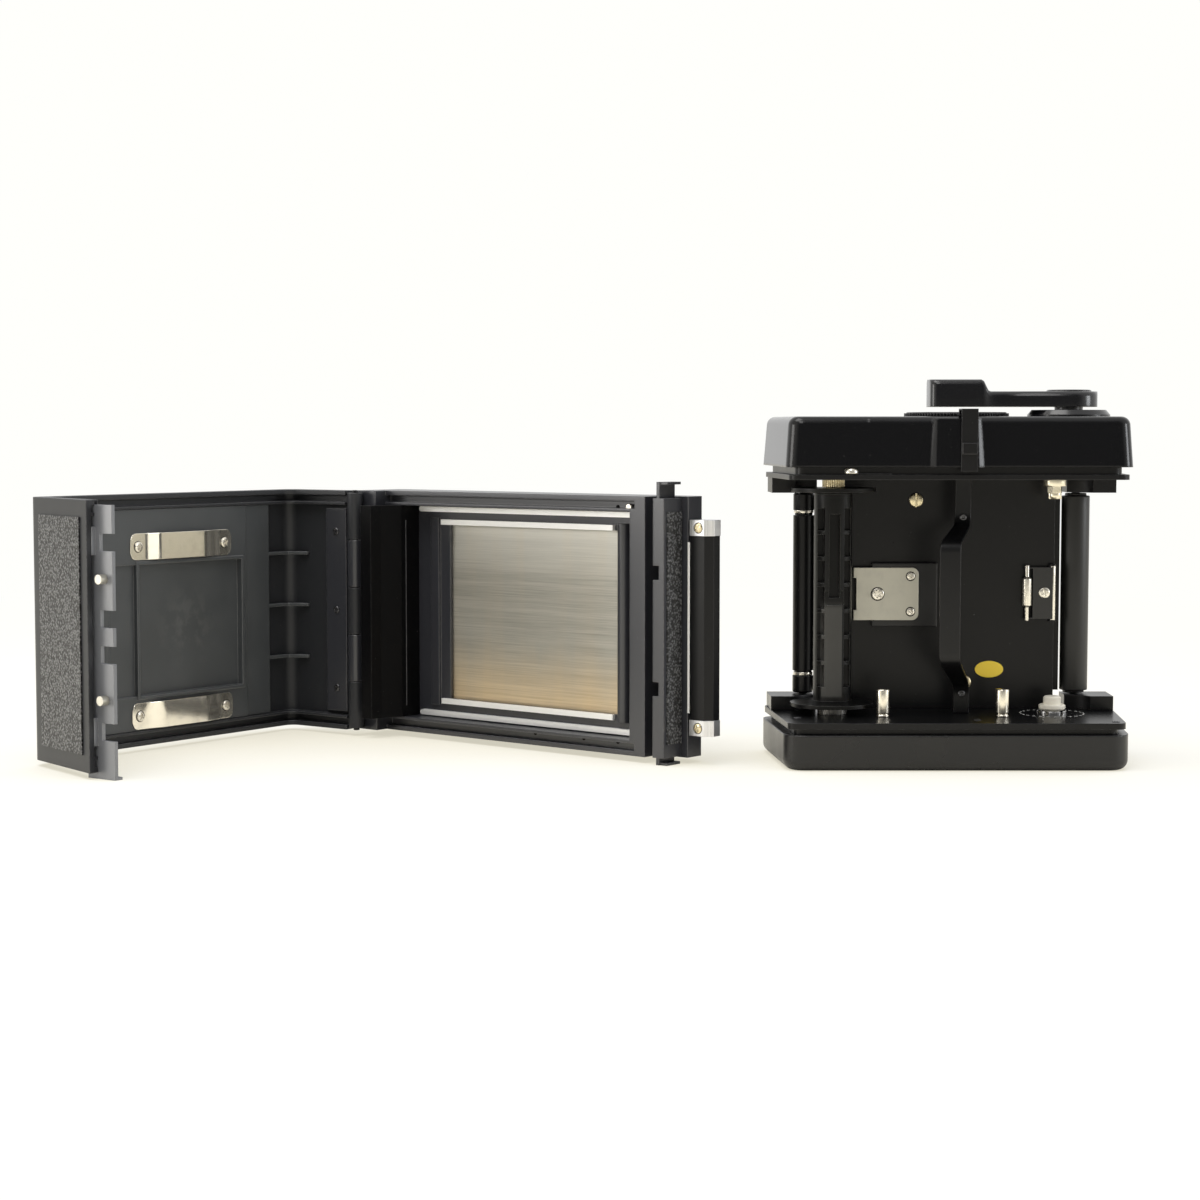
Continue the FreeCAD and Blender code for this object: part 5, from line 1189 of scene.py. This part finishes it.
@dataclass
class SlideDetails:
    """Screws on the handle of the dark slide and the bare edge beside its grip."""

    screw_along: float = 128.34
    screw_front: float = 14.25
    screw_half: float = 29.65
    edge_start: float = 124.3
    edge_width: float = 0.75
    edge_front: float = 14.44
    edge_back: float = 14.6
    edge_half: float = 25.4

    def build(self, bench: Bench) -> None:
        """Make the handle's screws and the bright edge.

        Args:
            bench: Where pieces are made.
        """
        places = [(self.screw_along, self.screw_front, MIDDLE + side * self.screw_half)
                  for side in (-1, 1)]
        ScrewSet("handle_screw", GATE, "slide", bench.finishes.gilt, places, Direction.TOWARDS_VIEWER,
                 1.5, 0.4, Recess.CROSS, ["handle_screws"], shade_ring_reach=0.15).build(bench)
        outline = rectangle(self.edge_start, self.edge_front, self.edge_start + self.edge_width,
                            self.edge_back)
        bench.piece("bare_edge", slab(outline, MIDDLE - self.edge_half, MIDDLE + self.edge_half), GATE,
                    bench.finishes.rail, "slide")


@dataclass
class GateDetails:
    """Stud and dark discs of painted shade for the small holes on the rim of the gate frame, a seam, and the
    screws of the lens side.
    """

    rim: float = 10.0
    upper: float = 76.0
    lower: float = 5.3
    stud_along: float = 106.4
    stud_radius: float = 1.15
    stud_height: float = 1.3
    stud_edge: float = 0.25
    holes_along: tuple[float, float, float] = (68.4, 88.0, 101.4)
    hole_radius: float = 0.7
    hole_height: float = 0.03
    lens_face: float = 25.2
    lens_ends: Span = (13.0, 107.0)
    lens_half: float = 18.0
    seam_edges: tuple[float, float, float, float] = (13.8, 8.9, 14.05, 9.15)
    seam_levels: Span = (10.0, 70.0)

    def build(self, bench: Bench) -> None:
        """Make the seam of the roll chamber, the stud, the painted shade of the holes and the four plate screws.

        Args:
            bench: Where pieces are made.
        """
        finishes, front = bench.finishes, Direction.TOWARDS_VIEWER
        bench.piece("chamber_seam", slab(rectangle(*self.seam_edges), *self.seam_levels), GATE,
                    finishes.lit_casing, "holder")
        profile = rounded_profile(rectangle(0, 0, self.stud_radius, self.stud_height), self.stud_edge)
        stud = moved(turned(profile, 32), seat((self.stud_along, self.rim, self.upper), front))
        bench.piece("rim_stud", stud, GATE, finishes.nickel, "holder", angle=60)
        # the holes are thin dark discs: painted shade
        profile = rectangle(0, 0, self.hole_radius, self.hole_height)
        spots = [(self.holes_along[2], self.upper), *((along, self.lower) for along in self.holes_along)]
        holes = [moved(turned(profile, 24), seat((along, self.rim, level), front))
                 for along, level in spots]
        bench.piece("rim_hole_shade", merged(holes), GATE, finishes.void, "holder")
        places = [(along, self.lens_face, MIDDLE + side * self.lens_half)
                  for along in self.lens_ends for side in (-1, 1)]
        ScrewSet("lens_plate_screw", GATE, "holder", finishes.chrome, places, Direction.AWAY, 1.6, 0.6,
                 Recess.CROSS, ["lens_plate_screws"]).build(bench)


@dataclass
class LeverPiece:
    """The glossy winding lever: a thin round-ended arm that swells into a thumb block."""

    hub_x: float = 35.8
    hub_y: float = 1.5
    low: float = 105.9
    arm_height: float = 4.6
    grip_height: float = 8.1
    tip_radius: float = 8.4
    grip_start: float = -6.1
    grip_length: float = 15.2
    grip_half: float = 6.0
    grip_corner: float = 2.2
    corner_end: float = 2.6
    slope: float = 2.4
    waist: float = 1.6
    waist_power: float = 0.6
    edge: float = 1.7
    edge_share: float = 0.6
    least_half: float = 0.3
    tip_gap: float = 0.02

    def height(self, x: float) -> float:
        """Height of the lever's top at one place along it."""
        share = eased((x - self.grip_start - self.grip_length) / self.slope)
        return self.grip_height + (self.arm_height - self.grip_height) * share

    def half_width(self, x: float) -> float:
        """Half width of the lever in plan.

        Args:
            x: Place along the lever.

        Returns:
            The half width there.
        """
        if x > self.hub_x:
            return math.sqrt(max(self.tip_radius ** 2 - (x - self.hub_x) ** 2, 0.0))
        share = (self.hub_x - x) / (self.hub_x - self.grip_start)
        half = self.tip_radius + (self.grip_half - self.tip_radius) * share
        arm = ((x - self.grip_start - self.grip_length)
               / (self.hub_x - self.grip_start - self.grip_length))
        if arm > 0:
            half -= self.waist * math.sin(math.pi * arm ** self.waist_power) ** 2
        inward, corner = x - self.grip_start, self.grip_corner
        if inward < corner:
            half += math.sqrt(max(corner ** 2 - (corner - inward) ** 2, 0.0)) - corner
        return half

    def stations(self) -> list[float]:
        """Places along the lever at which its section is drawn.

        Returns:
            Each place, from the grip to the tip.
        """
        arm_start = self.grip_start + self.corner_end
        arm_length = self.hub_x - self.grip_start - self.corner_end
        return [
            *(self.grip_start + self.grip_corner * (1 - math.cos(math.pi * step / 16)) for step in range(8)),
            *(arm_start + arm_length * step / 54 for step in range(54)),
            *(self.hub_x + self.tip_radius * math.sin(math.pi * step / 40) for step in range(20)),
            self.hub_x + self.tip_radius - self.tip_gap,
        ]

    def section(self, x: float) -> list[Place]:
        """One cross-section with rounded upper edges.

        Args:
            x: Place along the lever.

        Returns:
            The corners round the section.
        """
        half, top = max(self.half_width(x), self.least_half), self.height(x)
        edge = min(self.edge, half * self.edge_share)
        points = [(-half, 0.0), (half, 0.0)]
        for first, middle in ((0.0, half - edge), (math.pi / 2, -half + edge)):
            for step in range(5):
                side, level = polar(edge, first + math.pi / 2 * step / 4)
                points.append((middle + side, top - edge + level))
        return [(x, self.hub_y + side, self.low + level) for side, level in points]

    def build(self, bench: Bench) -> None:
        """Make the lever and its cap.

        Args:
            bench: Where pieces are made.
        """
        finish = bench.finishes.lever
        bench.piece("thumb_lever", lofted([self.section(x) for x in self.stations()]), INSERT, finish,
                    "lever", ["wind_lever"], round_mm=0.35, steps=3, angle=55)
        cap = [(0, 0), (6.6, 0), (6.6, 0.25), (6.2, 0.5), (3.4, 0.5), (3.1, 0.3), (0, 0.3)]
        cap = shifted(turned(cap, 64), self.hub_x, self.hub_y, self.low + self.arm_height)
        bench.piece("lever_cap", cap, INSERT, finish, "lever")


@dataclass
class DialPiece:
    """The counter dial: finely knurled rim and plain numbers on its face."""

    x: float = 2.3
    y: float = 1.5
    low: float = 103.12
    radius: float = 15.5
    thick: float = 1.2
    teeth: int = 96
    tooth: float = 0.4
    sink: float = 0.35
    numbers: int = 10
    number_size: float = 2.6
    number_inset: float = 3.3
    number_rise: float = 0.03

    def build(self, bench: Bench) -> None:
        """Make the dial, its raised ring and its numbers.

        Args:
            bench: Where pieces are made.
        """
        radius, thick = self.radius, self.thick
        root, middle = radius - self.tooth, thick - self.sink
        rim = toothed(self.teeth, ((0.0, radius), (0.42, radius), (0.6, root), (0.82, root)))
        face = turned([(0, 0.2), (radius - 0.7, 0.2), (radius - 0.7, thick - 0.12), (radius - 0.9, thick),
                       (radius - 5.5, thick), (radius - 5.8, middle), (0, middle)], self.teeth)
        dial = shifted(merged([slab(rim, 0, thick - 0.3), face]), self.x, self.y, self.low)
        bench.piece("knurled_dial", dial, INSERT, bench.finishes.enamel, "dial", ["counter_dial"])
        for number in range(1, self.numbers + 1):
            self.number(bench, number)

    def number(self, bench: Bench, number: int) -> None:
        """One number on the dial's face.

        Args:
            bench: Where pieces are made.
            number: The number that is written.
        """
        curve = bpy.data.curves.new("number_%d" % number, "FONT")
        curve.body = str(number)
        curve.size = self.number_size
        curve.align_x = curve.align_y = "CENTER"
        curve.extrude = self.number_rise
        writing = placed("writing", curve)
        data = worked_out(writing)
        mesh = bmesh.new()
        mesh.from_mesh(data)
        bpy.data.objects.remove(writing)
        bpy.data.meshes.remove(data)
        turn = Matrix.Rotation(math.radians(-360.0 * number / (self.numbers + 1)), 4, "Z")
        where = Matrix.Translation((self.x, self.y, self.low + self.thick)) @ turn
        moved(mesh, where @ Matrix.Translation((0, self.radius - self.number_inset, 0.0)))
        bench.piece("dial_number_%d" % number, mesh, INSERT, bench.finishes.ink, "dial")


@dataclass
class InsertDetails:
    """Small turned, printed and fixed pieces of the film insert."""

    base_top: float = 14.0
    carrier: float = 14.6
    press_face: float = 11.4
    supply_x: float = 32.0
    take_up_x: float = -34.2
    axis_y: float = 1.5
    post_places: tuple[Point, ...] = ((-19.9, -7.0), (15.6, -7.0))
    label_place: Point = (15.0, 26.0)
    label_half: Span = (4.35, 2.55)
    label_height: float = 0.12
    print_height: float = 0.03
    dashes: int = 26
    dash_radii: Span = (9.7, 9.25)
    nut_ribs: int = 30
    nut_radii: Span = (3.35, 3.05)
    nut_levels: Span = (82.0, 84.5)
    bracket_edges: tuple[float, float, float, float] = (-33.0, -23.9, -19.8, -22.2)
    bracket_levels: Span = (86.2, 86.6)

    def posts(self, bench: Bench) -> None:
        """The two bright guide posts with domed tops and a groove at the foot.

        Args:
            bench: Where pieces are made.
        """
        profile = rounded_profile([(0, 0), (2.0, 0), (2.0, 0.5), (1.75, 0.65), (1.75, 0.95), (2.0, 1.1),
                                   (2.0, 8.3), (0, 8.3)], 0.45)
        posts = [shifted(turned(profile, 40), *place, self.base_top) for place in self.post_places]
        bench.piece("bright_posts", merged(posts), INSERT, bench.finishes.posts, "holder",
                    ["guide_posts"], angle=60)

    def label(self, bench: Bench) -> None:
        """The bare oval label low on the carrier plate.

        Args:
            bench: Where pieces are made.
        """
        wide, tall = self.label_half
        round_points = [polar(1, FULL_TURN * step / 56) for step in range(56)]
        oval = slab([(wide * x, tall * y) for x, y in round_points], 0, self.label_height)
        where = seat((self.label_place[0], self.carrier, self.label_place[1]), Direction.TOWARDS_VIEWER)
        bench.piece("oval_label", moved(oval, where), INSERT, bench.finishes.yellow, "holder", angle=50)

    def ring_marks(self, bench: Bench) -> None:
        """The dashed white ring printed round the supply peg.

        Args:
            bench: Where pieces are made.
        """
        shares, (outer, inner) = (0, 0.25, 0.5), self.dash_radii
        marks = []
        for number in range(self.dashes):
            angles = [FULL_TURN * (number + share) / self.dashes for share in shares]
            outline = [polar(outer, angle) for angle in angles]
            outline += [polar(inner, angle) for angle in reversed(angles)]
            marks.append(slab(outline, 0, self.print_height))
        ring = shifted(merged(marks), self.supply_x, self.axis_y, self.base_top)
        bench.piece("dashed_ring", ring, INSERT, bench.finishes.ink, "holder")

    def ribbed_nut(self, bench: Bench) -> None:
        """The ribbed nut on the take-up shaft between its flange and the upper plate.

        Args:
            bench: Where pieces are made.
        """
        crest, root = self.nut_radii
        outline = toothed(self.nut_ribs, ((0, crest), (0.4, crest), (0.55, root), (0.85, root)))
        nut = shifted(slab(outline, *self.nut_levels), self.take_up_x, self.axis_y, 0)
        bench.piece("ribbed_nut", nut, INSERT, bench.finishes.gilt, "take_up")

    def screws(self, bench: Bench) -> None:
        """Carrier, press and base screws.

        Args:
            bench: Where pieces are made.
        """
        finishes, front = bench.finishes, Direction.TOWARDS_VIEWER
        press, top = self.press_face, self.base_top
        for screws in (
            ScrewSet("carrier_screw", INSERT, "holder", finishes.gilt,
                     [(-7.8, self.carrier, 77.7), (7.4, self.carrier, 22.0)], front, 2.15, 0.9,
                     Recess.SLOT, ["carrier_screws"], 90.0),
            ScrewSet("press_screw", INSERT, "holder", finishes.nickel,
                     [(-9.6, press, 43.9), (-9.6, press, 54.7)], front, 1.25, 0.45,
                     Recess.CROSS, ["film_press_screws"], shade_ring_reach=0.22),
            ScrewSet("press_stud", INSERT, "holder", finishes.nickel, [(-19.6, press, 49.3)],
                     front, 1.9, 0.5, Recess.STAR, shade_ring_reach=0.2),
            ScrewSet("base_screw", INSERT, "holder", finishes.screw,
                     [(-45.4, -10.5, top), (6.9, -15.4, top), (46.7, -20.3, top)],
                     Direction.UP, 1.2, 0.25, Recess.CROSS),
        ):
            screws.build(bench)

    def bracket(self, bench: Bench) -> None:
        """The thin bracket on the upper plate with its bright pan-head screw.

        Args:
            bench: Where pieces are made.
        """
        plate = slab(rectangle(*self.bracket_edges), *self.bracket_levels)
        bench.piece("top_bracket", plate, INSERT, bench.finishes.enamel, "holder", ["band_bracket"])
        ScrewSet("bracket_screw", INSERT, "holder", bench.finishes.nickel,
                 [(-31.4, -23.2, self.bracket_levels[1])], Direction.UP, 2.0, 1.6).build(bench)

    def key(self, bench: Bench) -> None:
        """The pale key that drives the supply spool: collar, hexagonal neck and tapered tip.

        Args:
            bench: Where pieces are made.
        """
        collar = rounded_profile([(0, 82.3), (3.4, 82.3), (3.4, 84.6), (1.2, 84.6), (1.2, 87.7),
                                  (0, 87.7)], 0.25)
        core = rounded_profile([(0, 78.42), (1.35, 78.42), (1.9, 79.1), (1.9, 80.35), (0, 80.35)], 0.2)
        neck = slab(toothed(6, ((1 / 6, 2.3),)), 80.3, 82.35)
        tip = slab(round_rectangle(3.9, 1.7, 0.3, 3), 78.5, 80.4)
        whole = merged([turned(collar, 40), neck, tip, turned(core, 36)])
        bench.piece("supply_driver", shifted(whole, self.supply_x, self.axis_y, 0), INSERT,
                    bench.finishes.brass, "key", ["supply_key"], angle=35)

    def build(self, bench: Bench) -> None:
        """Make all small pieces of the insert."""
        for make in (self.posts, self.label, self.ring_marks, self.ribbed_nut, self.screws,
                     self.bracket, self.key):
            make(bench)


@dataclass
class GripStrap:
    """The folded steel strap in front of the carrier, with its riveted tabs."""

    tab: tuple[float, float, float] = (2.2, 4.8, 1.0)
    full: tuple[float, float, float] = (-4.4, 6.2, -15.0)
    levels: tuple[float, ...] = (14.0, 22.4, 30.6, 66.2, 71.2, 84.7)
    thick: float = 1.0
    bend: float = 3.0
    rivet_levels: Span = (20.0, 73.0)

    def path(self) -> list[Vector]:
        """Left edge, width, front and level along the strap, with rounded bends.

        Returns:
            One four-part vector for each station.
        """
        shapes = (self.tab, self.tab, self.full, self.full, self.tab, self.tab)
        corners = [Vector((*shape, level)) for shape, level in zip(shapes, self.levels)]
        stations = [corners[0]]
        for before, here, after in zip(corners, corners[1:], corners[2:]):
            back, ahead = before - here, after - here
            start = here + back * min(self.bend / back.length, 0.45)
            end = here + ahead * min(self.bend / ahead.length, 0.45)
            for step in range(9):
                share = step / 8
                stations.append((start * (1 - share) + here * share) * (1 - share)
                                + (here * (1 - share) + end * share) * share)
        return [*stations, corners[-1]]

    def build(self, bench: Bench) -> None:
        """Make the strap and its two rivets.

        Args:
            bench: Where pieces are made.
        """
        stations = self.path()
        sections = []
        for before, spot, after in zip([stations[0], *stations], stations, [*stations[1:], stations[-1]]):
            left, width, front, level = spot
            run = Vector((after[2] - before[2], after[3] - before[3])).normalized()
            back, under = front + run.y * self.thick, level - run.x * self.thick
            sections.append([(left, front, level), (left + width, front, level),
                             (left + width, back, under), (left, back, under)])
        bench.piece("folded_strap", lofted(sections), INSERT, bench.finishes.strap, "holder",
                    ["grip_strap"], round_mm=0.28, steps=3, angle=55)
        profile = [(0, 0), (1.05, 0), (1.05, 0.25), (0.85, 0.42), (0.5, 0.42), (0.38, 0.2), (0, 0.2)]
        left, width, front = self.tab
        rivets = [moved(turned(profile, 32), seat((left + width / 2, front, level),
                                                  Direction.TOWARDS_VIEWER)) for level in self.rivet_levels]
        bench.piece("strap_rivets", merged(rivets), INSERT, bench.finishes.screw, "holder")


@dataclass
class FilmArm:
    """The small swinging arm at the carrier's edge: black leaf, bright spindle and barrel."""

    axis_x: float = 33.9
    axis_y: float = 13.2
    low: float = 41.5
    high: float = 57.5
    reach: float = 6.2
    sheet: float = 0.8
    front: float = 12.3
    ear_length: float = 2.6
    ear_overlap: float = 0.1
    ear_thick: float = 0.6
    spindle_offset: float = 1.7
    screw_offset: float = 0.4
    screw_level: float = 49.6

    def build(self, bench: Bench) -> None:
        """Make the leaf with its ears, the spindle, the barrel and the screw.

        Args:
            bench: Where pieces are made.
        """
        finishes = bench.finishes
        left, back = self.axis_x - self.reach, self.front + self.sheet
        ear = rectangle(left - self.ear_length, self.front, left + self.ear_overlap, back)
        parts = [slab(rectangle(left, self.front, self.axis_x, back), self.low, self.high)]
        parts += [slab(ear, level, level + self.ear_thick)
                  for level in (self.low, self.high - self.ear_thick)]
        bench.piece("arm_leaf", merged(parts), INSERT, finishes.lever, "arm", ["film_arm"],
                    round_mm=0.08)
        spindle = rounded_profile([(0, 41.0), (0.65, 41.0), (0.65, 45.2), (1.4, 45.7), (1.4, 53.9),
                                   (0.65, 54.4), (0.65, 58.0), (0, 58.0)], 0.2)
        barrel = rounded_profile(rectangle(0, 40.9, 0.9, 58.1), 0.2)
        bright = [shifted(turned(spindle, 32), left - self.spindle_offset, self.front + self.sheet / 2, 0),
                  shifted(turned(barrel, 32), self.axis_x, self.axis_y, 0)]
        bench.piece("arm_spindle", merged(bright), INSERT, finishes.nickel, "arm", angle=50)
        screw = ((left + self.axis_x) / 2 + self.screw_offset, self.front, self.screw_level)
        ScrewSet("arm_screw", INSERT, "arm", finishes.nickel, [screw], Direction.TOWARDS_VIEWER,
                 1.7, 0.6, Recess.CROSS).build(bench)


@dataclass
class Rollers:
    """Bright rings in the grooves of the left roller, and the right roller with its thick sleeve."""

    side: float = 41.6
    y: float = 18.6
    ring_levels: tuple[float, ...] = (24.4, 74.2, 75.9)
    low: float = 18.6
    high: float = 79.8
    sleeve: float = 4.25
    neck: float = 3.25
    neck_length: float = 0.8
    axle: float = 1.2
    axle_length: float = 1.6

    def build(self, bench: Bench) -> None:
        """Make the rings and the sleeved roller.

        Args:
            bench: Where pieces are made.
        """
        ring = [(2.9, -0.5), (3.0, -0.3), (3.0, 0.3), (2.9, 0.5)]
        rings = [shifted(turned(ring, 40), -self.side, self.y, level) for level in self.ring_levels]
        bench.piece("roller_rings", merged(rings), INSERT, bench.finishes.nickel, "roller_left")
        lower = [(0, self.low - self.axle_length), (self.axle, self.low - self.axle_length),
                 (self.axle, self.low), (self.neck, self.low), (self.neck, self.low + self.neck_length),
                 (self.sleeve, self.low + self.neck_length)]
        upper = [(radius, self.low + self.high - level) for radius, level in reversed(lower)]
        roller = shifted(turned(rounded_profile(lower + upper, 0.3), 56), self.side, self.y, 0)
        bench.piece("sleeved_roller", roller, INSERT, bench.finishes.sleeve, "roller_right",
                    ["right_roller"])


@dataclass(frozen=True)
class Lamp:
    """One soft square lamp, in metres and watts."""

    name: str
    place: Place
    target: Place
    power: float
    width: float
    colour: Colour

    def hang(self) -> None:
        """Put the lamp in the scene, turned to its target."""
        data = bpy.data.lights.new(self.name, "AREA")
        data.energy = self.power
        data.size = self.width
        data.color = self.colour
        item = placed(self.name, data)
        item.location = self.place
        aim = Vector(self.target) - Vector(self.place)
        item.rotation_euler = aim.to_track_quat("-Z", "Y").to_euler()


@dataclass
class Studio:
    """Floor, light and camera."""

    camera_place: Place = (-0.1040, -0.7268, 0.10023)
    camera_pitch: float = 4.089
    lens: float = 73.02
    sensor: float = 36.0
    floor_size: float = 24.0
    floor_shift: float = 6.0
    floor_lift: float = 0.7
    floor_colour: Colour = (0.95, 0.91, 0.8)
    floor_cloud: Colour = (0.96, 0.93, 0.84)
    cloud_mm: float = 30.0
    # colour of the painted warm contact shadow, found by ambient occlusion within the reach below
    corner: Colour = (0.88, 0.84, 0.7)
    painted_shadow_reach: float = 0.12
    white: Colour = (1.0, 1.0, 0.97)
    middle: Point = (-0.1, 0.02)
    white_from: Span = (0.3, 0.75)
    around: Colour = (0.98, 0.98, 0.97)
    left_glow: Colour = (0.98, 0.95, 0.88)
    back_glow: Colour = (0.98, 0.98, 0.96)
    dim: Colour = (0.2, 0.2, 0.2)
    dim_towards: Place = (0.05, -0.96, 0.27)
    lamps: tuple[Lamp, ...] = (
        Lamp("key", (-0.35, -0.15, 0.95), (-0.08, 0, 0.05), 5.0, 0.6, (1.0, 0.985, 0.96)),
        Lamp("side", (1.15, -0.3, 0.3), (0.02, -0.02, 0.09), 3.0, 0.35, (0.94, 0.97, 1.0)),
        Lamp("left", (-1.3, -0.24, 0.16), (-0.12, 0.02, 0.05), 4.0, 0.5, (1.0, 0.98, 0.95)),
        Lamp("front", (-0.25, -0.85, 0.95), (-0.06, 0.0, 0.05), 3.4, 0.5, (1.0, 0.99, 0.97)),
    )

    def floor(self) -> None:
        """A wide pale floor that keeps the shadows of the holder, carries a painted warm contact shadow near it,
        and turns white far away.
        """
        bpy.ops.mesh.primitive_grid_add(x_subdivisions=8, y_subdivisions=8, size=self.floor_size)
        item = bpy.context.object
        item.name = "studio_floor"
        item.location.y = self.floor_shift
        material = bpy.data.materials.new("floor_paper")
        material.use_nodes = True
        graph = Graph(material.node_tree)
        where = graph.place()
        paper = graph.noise(where, self.cloud_mm).ramp(0.2, 0.8)
        colour = graph.blend(paper * 0.5, self.floor_colour, self.floor_cloud)
        lit = graph.term("ShaderNodeBsdfDiffuse", 0, None, {"Color": colour})
        # painted warm contact shadow: ambient occlusion tints the white that the camera sees
        free = graph.term("ShaderNodeAmbientOcclusion", "AO", {"samples": 8},
                          {"Distance": self.painted_shadow_reach})
        shade = graph.blend(free.ramp(0.25, 0.85), self.corner, self.white)
        white_with_painted_shadow = graph.term("ShaderNodeEmission", 0, None, {"Color": shade, "Strength": 1.0})
        seen = graph.term("ShaderNodeLightPath", "Is Camera Ray")
        middle = (self.middle[0], self.middle[1] - self.floor_shift, 0.0)
        far = graph.vectors("DISTANCE", where, middle).ramp(*self.white_from)
        share = seen * (self.floor_lift + far * (1 - self.floor_lift))
        mixed = graph.term("ShaderNodeMixShader", 0, None, {0: share, 1: lit, 2: white_with_painted_shadow})
        graph.node("ShaderNodeOutputMaterial", None, {0: mixed})
        item.data.materials.append(material)

    def world(self) -> None:
        """Pale surroundings, warm on the left and dim in front, so black enamel stays black."""
        world = bpy.data.worlds.new("studio_world")
        bpy.context.scene.world = world
        world.use_nodes = True
        graph = Graph(world.node_tree)
        direction = graph.term("ShaderNodeTexCoord", "Generated")
        across, away, _ = graph.parts(direction)
        left = 1 - across.ramp(-0.9, -0.3)
        around = graph.blend(left * 0.9, self.around, self.left_glow)
        front = graph.vectors("DOT_PRODUCT", direction, self.dim_towards).ramp(0.55, 0.93)
        behind = away.ramp(-0.1, 0.4) * left
        shade = graph.blend(behind, graph.blend(front, around, self.dim), self.back_glow)
        seen = graph.term("ShaderNodeLightPath", "Is Camera Ray")
        colour = graph.blend(seen, shade, self.white)
        sky = graph.term("ShaderNodeBackground", 0, None, {"Color": colour, "Strength": 1.0})
        graph.node("ShaderNodeOutputWorld", None, {0: sky})

    def camera(self) -> None:
        """The camera at the photograph's place."""
        data = bpy.data.cameras.new("camera")
        data.lens = self.lens
        data.sensor_width = self.sensor
        item = placed("camera", data)
        item.location = self.camera_place
        item.rotation_euler = (math.radians(90 - self.camera_pitch), 0, 0)
        bpy.context.scene.camera = item

    def build(self) -> None:
        """Set up the whole studio."""
        self.floor()
        self.world()
        for lamp in self.lamps:
            lamp.hang()
        self.camera()
        bpy.context.scene.view_settings.view_transform = "Standard"


def main() -> None:
    """Build and dress the holder, piece by piece."""
    logging.basicConfig(level=logging.INFO, format="%(name)s: %(message)s")
    finishes = Finishes()
    bench = Bench(finishes)
    FrameFinishing(finishes).dress()
    for assembly in (CoverDetails(), SlideDetails(), GateDetails(), LeverPiece(), DialPiece(),
                     InsertDetails(), GripStrap(), FilmArm(), Rollers()):
        before = len(bench.made)
        assembly.build(bench)
        log.info("%s: %s", type(assembly).__name__, ", ".join(bench.made[before:]))
    Studio().build()


if __name__ == "__main__":
    main()
